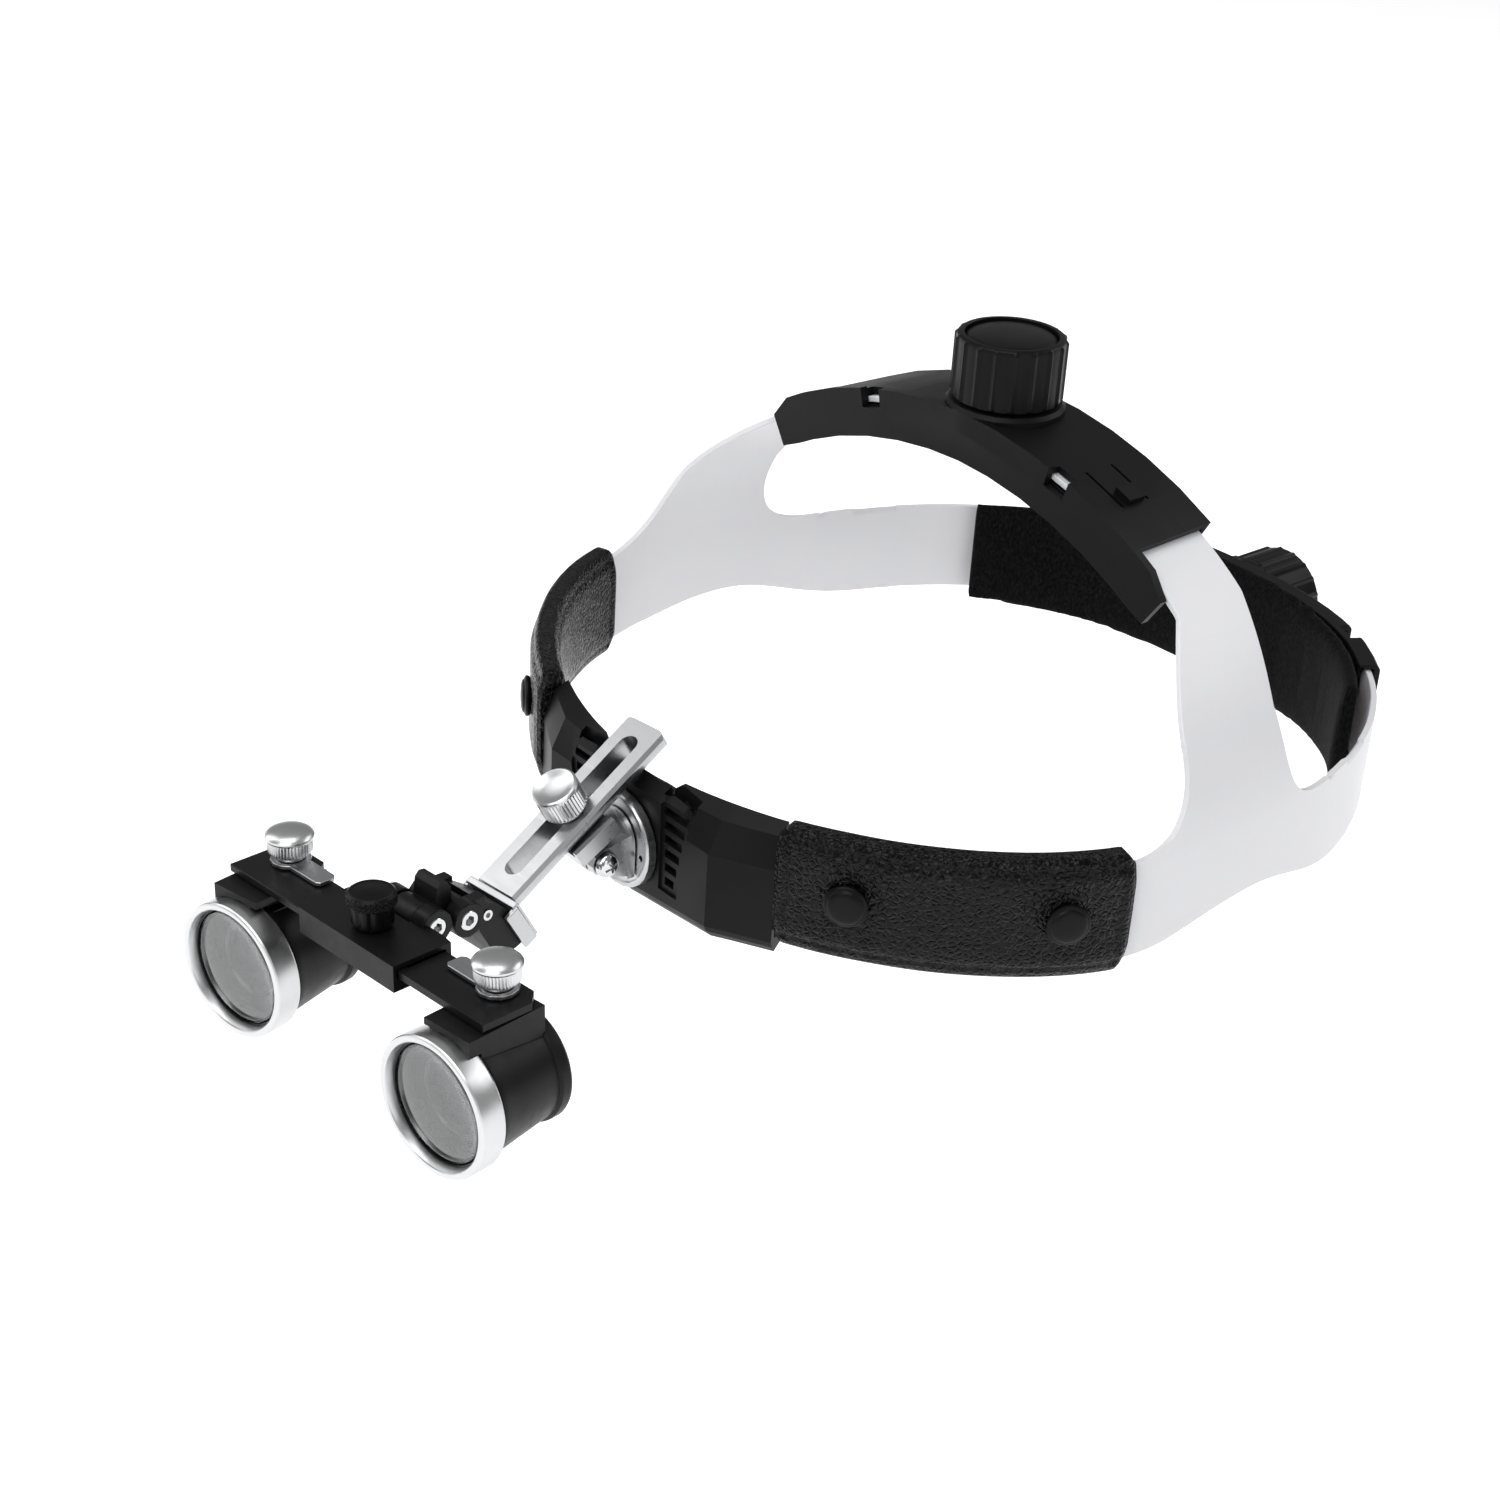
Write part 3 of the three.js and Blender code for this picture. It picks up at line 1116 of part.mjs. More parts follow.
// ---------------------------------------------------------------- assembly
add('brow_housing', browHousing(), 'blackPlastic');
add('brow_inner_cover', browInnerCover(), 'blackPlastic');
add('brow_pad', browPad(), 'foam');

for (const [name, side] of SIDES) {
  add(`leather_sleeve_${name}`, leatherSleeve(side), 'leather');
  add(`snap_front_${name}`, snapButton(SNAP_PLACES[0], side), 'blackKnob');
  add(`snap_rear_${name}`, snapButton(SNAP_PLACES[1], side), 'blackKnob');
  add(`side_frame_${name}`, sideFrame(side), 'whitePlastic');
  add(`crown_strap_${name}`, crownStrap(side), 'whitePlastic');
  add(`rear_strap_${name}`, rearStrap(side), 'whitePlastic');
}

add('crown_housing', crownHousing(), 'blackPlastic');
add('crown_inner_cover', crownInnerCover(), 'blackPlastic');
add('crown_pad', crownPad(), 'foam');
addRatchet('crown', (g) => g.translate(0, CROWN_Y, CROWN_DIAL_Z), CROWN_PINION_DROP);

add('rear_housing', rearHousing(), 'blackPlastic');
add('rear_inner_cover', rearInnerCover(), 'blackPlastic');
add('rear_pad', rearPad(), 'velvet');
addRatchet('rear', (g) => alongRear(g.translate(0, 0, REAR_DIAL_Y)), REAR_PINION_DROP);

add('mount_disc', mountDisc(), 'silver');
add('clevis', clevis(), 'silver');
add('tilt_screw', tiltScrew(), 'chrome');
add('tilt_nut', tiltNut(), 'chrome');
add('saddle', saddle(), 'silver');
add('clamp_stud', clampStud(), 'chrome');
add('thumb_knob', thumbKnob(), 'silver');
add('slotted_bar', slottedBar(), 'silver');
add('bar_foot', barFoot(), 'silver');

add('hinge_block', hingeBlock(), 'blackMetal');
add('set_screw', setScrew(), 'chrome');
add('hinge_link', hingeLink(), 'blackMetal');
add('hinge_pin_rear', hingePin(PIN_REAR), 'chrome');
add('hinge_pin_front', hingePin(PIN_FRONT), 'chrome');
add('bridge', bridge(), 'blackMetal');
add('ipd_knob', ipdKnob(), 'blackKnob');
add('ipd_pinion', ipdPinion(), 'chrome');

for (const [name, side] of SIDES) {
  add(`slide_bar_${name}`, slideBar(side), 'blackMetal');
  add(`clamp_strip_${name}`, clampStrip(side), 'silver');
  add(`clamp_knob_${name}`, swung(clampKnob().translate(side * BARREL_X, 0, 0)), 'silver');
  add(`bracket_${name}`, onBarrel(mirrored(barrelBracket(), side), side), 'blackMetal');
  add(`barrel_${name}`, onBarrel(aboutBarrel(BARREL_PROFILE), side), 'blackMetal');
  add(`bezel_${name}`, onBarrel(aboutBarrel(bezelProfile(BEZEL_RADIUS)), side), 'silver');
  add(`objective_${name}`, onBarrel(aboutBarrel(lens(11.3, 4.6, 2.4, 0.9)), side), 'glass');
  add(`eyepiece_${name}`, onBarrel(aboutBarrel(lens(9.3, 23, 1.6, 0.6)), side), 'glass');
}

export default part;
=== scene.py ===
"""Dental loupes on a headband: the visual model, its materials, the stage and the camera."""
import json
import math
from bisect import bisect_left

import bmesh
import bpy
from mathutils import Matrix, Vector, noise


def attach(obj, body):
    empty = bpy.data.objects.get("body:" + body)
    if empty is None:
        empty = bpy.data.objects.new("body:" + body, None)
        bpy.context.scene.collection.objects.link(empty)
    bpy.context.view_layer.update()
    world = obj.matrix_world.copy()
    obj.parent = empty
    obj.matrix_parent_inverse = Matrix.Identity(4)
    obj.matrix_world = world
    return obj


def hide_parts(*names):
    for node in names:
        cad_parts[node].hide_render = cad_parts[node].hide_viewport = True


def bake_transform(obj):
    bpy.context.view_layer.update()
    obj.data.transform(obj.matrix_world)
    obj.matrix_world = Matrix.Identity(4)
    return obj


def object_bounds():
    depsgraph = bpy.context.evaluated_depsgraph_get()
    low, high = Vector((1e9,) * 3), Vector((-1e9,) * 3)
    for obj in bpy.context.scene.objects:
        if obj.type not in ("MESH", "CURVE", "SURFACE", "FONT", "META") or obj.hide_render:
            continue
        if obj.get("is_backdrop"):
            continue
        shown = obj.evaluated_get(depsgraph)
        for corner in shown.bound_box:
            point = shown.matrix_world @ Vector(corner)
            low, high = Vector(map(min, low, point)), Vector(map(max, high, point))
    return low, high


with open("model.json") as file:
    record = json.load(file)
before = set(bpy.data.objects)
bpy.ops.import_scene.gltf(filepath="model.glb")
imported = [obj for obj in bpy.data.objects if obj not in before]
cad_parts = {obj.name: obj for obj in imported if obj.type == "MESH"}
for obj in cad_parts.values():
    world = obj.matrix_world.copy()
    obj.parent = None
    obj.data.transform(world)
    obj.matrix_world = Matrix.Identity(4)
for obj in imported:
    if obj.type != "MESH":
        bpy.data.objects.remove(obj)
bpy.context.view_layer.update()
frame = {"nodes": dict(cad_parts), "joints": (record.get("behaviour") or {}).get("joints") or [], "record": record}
scene = bpy.context.scene
JOINTS = {joint["name"]: joint for joint in frame["joints"]}
MOUNTS = {mount["name"]: mount for mount in frame["record"]["mounts"]}
MM = 0.001
SIDES = (("left", 1), ("right", -1))

# ---------------------------------------------------------------- dimensions, millimetres
BAND_HALF_WIDTH, BAND_FRONT, BAND_REAR = 89, 72, 120
FRONT_POWER, REAR_POWER = 1.8, 2.45
STRAP_HALF = 0.7
STRAP_TOP, STRAP_BOTTOM = 9, -13.8
ARCH_RISE, ARCH_POWER, ARCH_SPLIT_Z = 60, 1.9, 30
SIDE_REAR_Y = 74
SLEEVE_START, SLEEVE_END, SLEEVE_TOP, SLEEVE_BOTTOM = 40.8, 112.5, 14.6, -12.8
SNAP_PLACES = (56, 98.8)
EDGE_EASE = 0.3
REAR_PAD = 75
LEG_FRONT, LEG_REAR = 5.5, 34.5
LENS_RADIUS = 12.55
KNUCKLE_RADIUS, LINK_RADIUS = 3.75, 3.4


# ---------------------------------------------------------------- materials
class Paint:
    """A Principled material with a few node helpers."""

    def __init__(self, name, color, roughness, metallic=0.0, **sockets):
        self.material = bpy.data.materials.new(name)
        self.material.use_nodes = True
        self.tree = self.material.node_tree
        self.shader = self.tree.nodes["Principled BSDF"]
        self.place = self.tree.nodes.new("ShaderNodeTexCoord").outputs["Object"]
        self.last_bump = None
        self.shader.inputs["Base Color"].default_value = (*color, 1)
        self.shader.inputs["Roughness"].default_value = roughness
        self.shader.inputs["Metallic"].default_value = metallic
        for key, value in sockets.items():
            self.shader.inputs[key.replace("_", " ")].default_value = value

    def noise(self, scale, detail=3.0, stretch=(1, 1, 1), rough=0.5):
        node = self.tree.nodes.new("ShaderNodeTexNoise")
        node.inputs["Scale"].default_value = scale
        node.inputs["Detail"].default_value = detail
        node.inputs["Roughness"].default_value = rough
        self.tree.links.new(self.mapped(stretch), node.inputs["Vector"])
        return node.outputs["Fac"]

    def cells(self, scale, feature="F1"):
        node = self.tree.nodes.new("ShaderNodeTexVoronoi")
        node.feature = feature
        node.inputs["Scale"].default_value = scale
        self.tree.links.new(self.place, node.inputs["Vector"])
        return node.outputs["Distance"]

    def mapped(self, stretch):
        if stretch == (1, 1, 1):
            return self.place
        node = self.tree.nodes.new("ShaderNodeMapping")
        node.inputs["Scale"].default_value = stretch
        self.tree.links.new(self.place, node.inputs["Vector"])
        return node.outputs["Vector"]

    def span(self, value, low, high, to_low=0.0, to_high=1.0):
        node = self.tree.nodes.new("ShaderNodeMapRange")
        node.inputs["From Min"].default_value = low
        node.inputs["From Max"].default_value = high
        node.inputs["To Min"].default_value = to_low
        node.inputs["To Max"].default_value = to_high
        self.tree.links.new(value, node.inputs["Value"])
        return node.outputs["Result"]

    def colors(self, value, low, high):
        """Mixes two base colours by a signal from 0 to 1."""
        node = self.tree.nodes.new("ShaderNodeMix")
        node.data_type = "RGBA"
        node.inputs["A"].default_value = (*low, 1)
        node.inputs["B"].default_value = (*high, 1)
        self.tree.links.new(value, node.inputs["Factor"])
        self.tree.links.new(node.outputs["Result"], self.shader.inputs["Base Color"])
        return self

    def roughness(self, value, low, high):
        """Spreads a noise signal over two roughness values."""
        self.tree.links.new(self.span(value, 0.3, 0.7, low, high), self.shader.inputs["Roughness"])
        return self

    def bump(self, height, depth, strength):
        """Raises the surface by a height signal, on top of earlier bumps; depth in millimetres."""
        node = self.tree.nodes.new("ShaderNodeBump")
        node.inputs["Strength"].default_value = strength
        node.inputs["Distance"].default_value = depth * MM
        self.tree.links.new(height, node.inputs["Height"])
        if self.last_bump:
            self.tree.links.new(self.last_bump, node.inputs["Normal"])
        self.last_bump = node.outputs["Normal"]
        self.tree.links.new(self.last_bump, self.shader.inputs["Normal"])
        return self


def moulded_black(name, color, rough):
    paint = Paint(name, color, rough, Specular_IOR_Level=0.11)
    paint.roughness(paint.noise(90, 4), rough - 0.03, rough + 0.06)
    paint.colors(paint.span(paint.noise(35, 5), 0.35, 0.7), color, [c * 1.4 for c in color])
    paint.bump(paint.noise(3200, 2), 0.015, 0.4)
    return paint.material


def white_plastic():
    color = (0.66, 0.67, 0.69)
    paint = Paint("white_plastic", color, 0.34, Specular_IOR_Level=0.4,
                  Subsurface_Weight=0.12, Subsurface_Scale=0.003)
    paint.colors(paint.span(paint.noise(9, 2), 0.3, 0.7), color, (0.64, 0.652, 0.675))
    paint.roughness(paint.noise(60, 3), 0.31, 0.37)
    paint.bump(paint.noise(1800, 2), 0.006, 0.3)
    return paint.material


def leather():
    paint = Paint("leather", (0.002, 0.002, 0.0022), 0.24, Specular_IOR_Level=0.14)
    pebble = paint.cells(760, "SMOOTH_F1")
    crease = paint.cells(780, "DISTANCE_TO_EDGE")
    # Painted shade: the creases between the pebbles are coloured darker than the pebbles' raised tops.
    paint.colors(paint.span(pebble, 0.15, 0.7), (0.003, 0.003, 0.0033), (0.001, 0.001, 0.0012))
    paint.roughness(paint.noise(150, 4), 0.2, 0.28)
    paint.bump(paint.span(crease, 0.0, 0.24), 0.2, 0.9)
    paint.bump(paint.span(pebble, 0.7, 0.1), 0.16, 0.9)
    paint.bump(paint.noise(2600, 3), 0.02, 0.4)
    return paint.material


def foam():
    paint = Paint("foam", (0.02, 0.02, 0.021), 0.95, Specular_IOR_Level=0.12)
    pores = paint.cells(1000)
    speck = paint.noise(1500, 4, rough=0.7)
    paint.colors(paint.span(speck, 0.47, 0.66), (0.006, 0.006, 0.0065), (0.075, 0.075, 0.078))
    paint.bump(paint.span(pores, 0.0, 0.6), 0.35, 1.0)
    paint.bump(speck, 0.15, 0.8)
    return paint.material


def velvet():
    paint = Paint("velvet", (0.003, 0.003, 0.0032), 1.0, Specular_IOR_Level=0.05,
                  Sheen_Weight=0.04, Sheen_Roughness=0.4)
    nap = paint.noise(1800, 5, (1, 1, 0.5), 0.7)
    paint.colors(paint.span(nap, 0.42, 0.75), (0.002, 0.002, 0.0022), (0.012, 0.012, 0.0125))
    paint.bump(nap, 0.22, 1.0)
    paint.bump(paint.noise(120, 3), 0.4, 0.4)
    return paint.material


def black_metal():
    color = (0.0035, 0.0035, 0.0038)
    paint = Paint("black_metal", color, 0.38, Specular_IOR_Level=0.18)
    paint.colors(paint.span(paint.noise(70, 5), 0.35, 0.7), color, (0.006, 0.006, 0.0065))
    paint.roughness(paint.noise(500, 4), 0.34, 0.44)
    paint.bump(paint.noise(5200, 2), 0.006, 0.4)
    return paint.material


def satin_silver():
    """Brushed aluminium: its grain runs along X."""
    color = (0.48, 0.485, 0.495)
    paint = Paint("satin_silver", color, 0.3, 1.0)
    paint.colors(paint.span(paint.noise(40, 3), 0.35, 0.7), color, [c * 0.96 for c in color])
    paint.roughness(paint.noise(900, 2, (0.15, 1, 1)), 0.27, 0.34)
    return paint.material


def turned_silver():
    """Satin aluminium, matt enough to hide the marks left by the lathe."""
    color = (0.60, 0.605, 0.61)
    paint = Paint("turned_silver", color, 0.3, 1.0)
    paint.roughness(paint.noise(700, 2), 0.29, 0.33)
    paint.colors(paint.span(paint.noise(30, 2), 0.3, 0.7), color, (0.58, 0.585, 0.59))
    return paint.material


def chrome():
    paint = Paint("chrome", (0.58, 0.585, 0.59), 0.14, 1.0)
    paint.roughness(paint.noise(300, 4), 0.1, 0.2)
    return paint.material


def lens_glass():
    paint = Paint("lens_glass", (0.93, 0.95, 0.96), 0.0, IOR=1.52, Transmission_Weight=1.0,
                  Coat_Weight=0.15, Coat_Roughness=0.02)
    paint.bump(paint.noise(12, 1), 0.02, 0.05)
    return paint.material


def inner_black():
    paint = Paint("inner_black", (0.003, 0.003, 0.0032), 0.3)
    paint.roughness(paint.noise(240, 3), 0.24, 0.36)
    return paint.material


BLACK_PLASTIC = moulded_black("black_plastic", (0.0042, 0.0042, 0.0046), 0.40)
BLACK_KNOB = moulded_black("black_knob", (0.0036, 0.0036, 0.004), 0.33)
WHITE = white_plastic()
LEATHER = leather()
FOAM = foam()
VELVET = velvet()
BLACK_METAL = black_metal()
SILVER = satin_silver()
TURNED = turned_silver()
CHROME = chrome()
GLASS = lens_glass()
INNER_BLACK = inner_black()


# ---------------------------------------------------------------- mesh helpers
def piece(name, verts, faces, body, paint, nodes=(), bevel=0.0, place=None, sharp=35):
    """A closed mesh piece from points in millimetres, riding on a CAD body; place puts its own
    frame into the object's, and nodes are the CAD nodes that it stands for."""
    mesh = bpy.data.meshes.new(name)
    mesh.from_pydata([Vector(v) * MM for v in verts], [], faces)
    return dressed(name, mesh, body, paint, nodes, bevel, place, sharp)


def dressed(name, mesh, body, paint, nodes, bevel, place, sharp):
    """Makes a mesh a piece: placed, shaded, painted, its edges eased, on its body."""
    if place is not None:
        mesh.transform(place)
    soften(mesh, sharp)
    obj = bpy.data.objects.new(name, mesh)
    scene.collection.objects.link(obj)
    mesh.materials.clear()
    mesh.materials.append(paint)
    if bevel:
        mod = obj.modifiers.new("edges", "BEVEL")
        mod.width = bevel * MM
        mod.segments = 3
        mod.limit_method = "ANGLE"
        mod.angle_limit = math.radians(sharp)
        mod.harden_normals = True
        mod.use_clamp_overlap = True
    if body:
        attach(obj, body)
    if nodes:
        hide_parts(*nodes)
    return obj


def soften(mesh, sharp):
    """Faces outwards, smooth shading, and sharp edges where the surface turns a corner."""
    work = bmesh.new()
    work.from_mesh(mesh)
    bmesh.ops.recalc_face_normals(work, faces=work.faces)
    limit = math.radians(sharp)
    for face in work.faces:
        face.smooth = True
    for edge in work.edges:
        edge.smooth = len(edge.link_faces) == 2 and edge.calc_face_angle(0.0) < limit
    work.to_mesh(mesh)
    work.free()


def from_cad(node, body, paint, bevel=0.25, sharp=32):
    """The CAD node's own shape with its flat faces made whole and its edges eased."""
    work = bmesh.new()
    work.from_mesh(frame["nodes"][node].data)
    bmesh.ops.remove_doubles(work, verts=work.verts, dist=0.00002)
    bmesh.ops.dissolve_limit(work, angle_limit=math.radians(1.0), verts=work.verts, edges=work.edges)
    bmesh.ops.dissolve_degenerate(work, dist=0.00002, edges=work.edges)
    mesh = bpy.data.meshes.new(node + "_visual")
    work.to_mesh(mesh)
    work.free()
    return dressed(node + "_visual", mesh, body, paint, (node,), bevel, None, sharp)


def lathe(points, sides=96, wave=None):
    """Rings about Z from [radius, height] points; wave(angle, row) scales a ring's radius."""
    verts, faces, rows = [], [], []
    for row, (radius, height) in enumerate(points):
        if radius < 1e-6:
            rows.append([len(verts)])
            verts.append((0, 0, height))
            continue
        rows.append(list(range(len(verts), len(verts) + sides)))
        for i in range(sides):
            angle = 2 * math.pi * i / sides
            r = radius * (wave(angle, row) if wave else 1)
            verts.append((r * math.cos(angle), r * math.sin(angle), height))
    for low, high in zip(rows, rows[1:]):
        for i in range(sides):
            j = (i + 1) % sides
            ring = [low[i % len(low)], low[j % len(low)], high[j % len(high)], high[i % len(high)]]
            kept = list(dict.fromkeys(ring))
            if len(kept) > 2:
                faces.append(kept)
    return verts, faces


def loft(place, stations, section):
    """Closed sections of [v, h] points along u; place(u, v, h) gives each point."""
    rings = [[place(u, v, h) for v, h in section(u)] for u in stations]
    count = len(rings[0])
    verts = [p for ring in rings for p in ring]
    faces = [list(range(count))[::-1], [len(verts) - count + i for i in range(count)]]
    for row in range(len(rings) - 1):
        for i in range(count):
            j = (i + 1) % count
            a = row * count
            faces.append([a + i, a + j, a + count + j, a + count + i])
    return verts, faces


def sheet_between(outer, inner):
    """Closes two equal grids of points, an outer and an inner one, into a thick sheet."""
    columns, rows = len(outer), len(outer[0])
    verts = [p for grid in (outer, inner) for column in grid for p in column]

    def at(layer, i, j):
        return layer * columns * rows + i * rows + j

    faces = []
    for i in range(columns - 1):
        for j in range(rows - 1):
            faces.append([at(0, i, j), at(0, i + 1, j), at(0, i + 1, j + 1), at(0, i, j + 1)])
            faces.append([at(1, i, j), at(1, i, j + 1), at(1, i + 1, j + 1), at(1, i + 1, j)])
        for j in (0, rows - 1):
            faces.append([at(0, i, j), at(1, i, j), at(1, i + 1, j), at(0, i + 1, j)])
    for j in range(rows - 1):
        for i in (0, columns - 1):
            faces.append([at(0, i, j), at(0, i, j + 1), at(1, i, j + 1), at(1, i, j)])
    return verts, faces


def joined(*shapes):
    """Several shapes as one list of points and one of faces."""
    verts, faces = [], []
    for more_verts, more_faces in shapes:
        start = len(verts)
        verts.extend(more_verts)
        faces.extend([[start + i for i in face] for face in more_faces])
    return verts, faces


def steps(start, end, count):
    return [start + (end - start) * i / count for i in range(count + 1)]


def smooth(x, low, high):
    """Eases from 0 at low to 1 at high."""
    t = min(1, max(0, (x - low) / (high - low)))
    return t * t * (3 - 2 * t)


def axes(origin, x_axis, z_axis):
    """Matrix from a local frame to the object's; origin in metres."""
    z = Vector(z_axis).normalized()
    x = Vector(x_axis)
    x = (x - z * x.dot(z)).normalized()
    matrix = Matrix((x, z.cross(x), z)).transposed().to_4x4()
    return Matrix.Translation(Vector(origin)) @ matrix


# ---------------------------------------------------------------- headband surfaces
def ring_by_angle(angle):
    """The band's middle line seen from above, from the brow at 0 to the back at pi."""
    s, c = math.sin(angle), math.cos(angle)
    depth, power = (BAND_FRONT, FRONT_POWER) if c > 0 else (BAND_REAR, REAR_POWER)
    x = BAND_HALF_WIDTH * abs(s) ** (2 / power)
    return Vector((x, -math.copysign(depth * abs(c) ** (2 / power), c)))


RING = [ring_by_angle(math.pi * i / 1440) for i in range(1441)]
LENGTHS = [0.0]
for before, after in zip(RING, RING[1:]):
    LENGTHS.append(LENGTHS[-1] + (after - before).length)
HALF_RING = LENGTHS[-1]


def ring_by_length(s):
    """The same line by the length along it from the brow, negative on the wearer's right."""
    length = min(abs(s), HALF_RING)
    i = max(1, bisect_left(LENGTHS, length))
    share = (length - LENGTHS[i - 1]) / (LENGTHS[i] - LENGTHS[i - 1])
    p = RING[i - 1].lerp(RING[i], share)
    return Vector((math.copysign(p.x, s), p.y))


def on_band(s, z, out):
    """A point beside the band: s along it, at height z, out from its middle surface."""
    along = (ring_by_length(min(s + 0.5, HALF_RING)) - ring_by_length(s - 0.5)).normalized()
    p = ring_by_length(s)
    return Vector((p.x + along.y * out, p.y - along.x * out, z))


def on_rear(s, z, out):
    """The same, with s measured from the middle of the back."""
    p = on_band(HALF_RING - abs(s), z, out)
    return Vector((-p.x if s < 0 else p.x, p.y, p.z))


def length_at_y(y):
    return LENGTHS[bisect_left([p.y for p in RING], y)]


def half_width_at(y):
    depth, power = (BAND_FRONT, FRONT_POWER) if y < 0 else (BAND_REAR, REAR_POWER)
    return BAND_HALF_WIDTH * (1 - min(1, abs(y) / depth) ** power) ** (1 / power)


def arch_point(t, y):
    """The crown strap's middle surface, t degrees down from its top."""
    s, c = math.sin(math.radians(t)), math.cos(math.radians(t))
    x = math.copysign(half_width_at(y) * abs(s) ** (2 / ARCH_POWER), s)
    return Vector((x, y, STRAP_TOP + ARCH_RISE * abs(c) ** (2 / ARCH_POWER)))


def on_arch(t, y, out):
    along = arch_point(t + 0.5, y) - arch_point(t - 0.5, y)
    across = arch_point(t, y + 0.5) - arch_point(t, y - 0.5)
    normal = along.cross(across).normalized()
    if normal.z < 0:
        normal.negate()
    return arch_point(t, y) + normal * out


def arch_angle(z):
    """How many degrees down the arch it reaches height z."""
    return math.degrees(math.acos(((z - STRAP_TOP) / ARCH_RISE) ** (ARCH_POWER / 2)))


def mirror_x(shape, side):
    return [Vector((p[0] * side, p[1], p[2])) for p in shape[0]], shape[1]


# ---------------------------------------------------------------- white side frames and straps
def bezier(a, b, c, d, count):
    points = []
    for t in steps(0, 1, count):
        w = ((1 - t) ** 3, 3 * t * (1 - t) ** 2, 3 * t * t * (1 - t), t ** 3)
        points.append(tuple(sum(k * p[n] for k, p in zip(w, (a, b, c, d))) for n in (0, 1)))
    return points


# Outlines of a side frame as [y, z]: the tongue, the foot of the leg and the rear end.
TONGUE_TIP, REAR_TIP = -72, 80
TONGUE_STEP, TONGUE_LOW, TONGUE_NARROW, TONGUE_WIDE = -58, -10.8, 2.8, 11.3
LOWER_EDGE = [(TONGUE_TIP, TONGUE_LOW),
              *bezier((-10, TONGUE_LOW), (4, -9.5), (12, -6.5), (25, -6.5), 16),
              *bezier((25, -6.5), (40, -6.5), (48, STRAP_BOTTOM), (66, STRAP_BOTTOM), 16)[1:],
              (REAR_TIP, STRAP_BOTTOM)]
UPPER_EDGE = [(TONGUE_TIP, TONGUE_NARROW), (TONGUE_STEP - 0.1, TONGUE_NARROW),
              (TONGUE_STEP, TONGUE_WIDE),
              *bezier((-10, TONGUE_WIDE), (0, 13), (4, 20), (LEG_FRONT, ARCH_SPLIT_Z), 16),
              *bezier((LEG_REAR, ARCH_SPLIT_Z), (34.6, 14), (39, STRAP_TOP), (52, STRAP_TOP), 16),
              (REAR_TIP, STRAP_TOP)]


def strap_edges(t):
    """Front and rear edges of the crown strap, t degrees down the arch: both run rearwards and
    settle at the housing's mouth."""
    mouth, front_run, rear_run = 48, 13.9, 6.1
    split = arch_angle(ARCH_SPLIT_Z)
    share = min(1, max(0, (split - t) / (split - mouth)))
    return LEG_FRONT + front_run * share ** 1.6, LEG_REAR + rear_run * share ** 1.25


def between(points, x):
    """Straight-line look-up in [x, value] points with rising x."""
    for low, high in zip(points, points[1:]):
        if low[0] <= x <= high[0]:
            return low[1] + (high[1] - low[1]) * (x - low[0]) / (high[0] - low[0])
    return points[-1][1]


def side_point(y, z, out):
    """A point of a side frame: on the band up to the strap's top, and on the arch above it."""
    if z <= STRAP_TOP:
        return on_band(length_at_y(y), z, out)
    return on_arch(arch_angle(z), y, out)


def ease_edges(obj, at_seam):
    """Rounds a sheet's edges, apart from the ones where it runs on into its neighbour."""
    work = bmesh.new()
    work.from_mesh(obj.data)
    weight = work.edges.layers.float.new("bevel_weight_edge")
    for edge in work.edges:
        sharp = len(edge.link_faces) == 2 and edge.calc_face_angle(0.0) > math.radians(55)
        seam = all(at_seam(v.co / MM) for v in edge.verts)
        edge[weight] = float(sharp and not seam)
    work.to_mesh(obj.data)
    work.free()
    mod = obj.modifiers.new("edges", "BEVEL")
    mod.width = EDGE_EASE * MM
    mod.segments = 3
    mod.limit_method = "WEIGHT"
    mod.harden_normals = True


def side_frame(name, side):
    """Side frame: one sheet bent round the band, from the tongue in the sleeve to its rear end."""
    front_y = ring_by_length(SLEEVE_START - 2.4).y
    corners = {p[0] for p in UPPER_EDGE[1:-1] + LOWER_EDGE[1:-1]}
    ys = sorted({*steps(front_y, SIDE_REAR_Y, 60), *corners})
    ys = [y for y in ys if front_y <= y <= SIDE_REAR_Y]
    grids = []
    for out in (STRAP_HALF, -STRAP_HALF):
        columns = [steps(between(LOWER_EDGE, y), between(UPPER_EDGE, y), 26) for y in ys]
        grids.append([[side_point(y, z, out) for z in column] for y, column in zip(ys, columns)])
    shape = mirror_x(sheet_between(*grids), side)
    sheet = piece(f"white_frame_{name}", *shape, "headband", WHITE, (f"side_frame_{name}",),
                  sharp=55)

    def at_seam(p):
        under_strap = p.z > ARCH_SPLIT_Z - 0.8 and LEG_FRONT - 0.1 < p.y < LEG_REAR + 0.1
        return under_strap or p.y > SIDE_REAR_Y - 0.5

    ease_edges(sheet, at_seam)


def crown_strap(name, side):
    """Strap over the head, from the leg of the side frame into the crown housing."""
    start = arch_angle(ARCH_SPLIT_Z)
    grids = []
    for out in (STRAP_HALF, -STRAP_HALF):
        grids.append([[on_arch(t, y, out) for y in steps(*strap_edges(t), 12)]
                      for t in steps(start, 12, 70)])
    shape = mirror_x(sheet_between(*grids), side)
    strap = piece(f"crown_strap_{name}_visual", *shape, None, WHITE, (f"crown_strap_{name}",),
                  sharp=55)
    ease_edges(strap, lambda p: p.z < ARCH_SPLIT_Z + 0.8)
    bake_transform(strap)


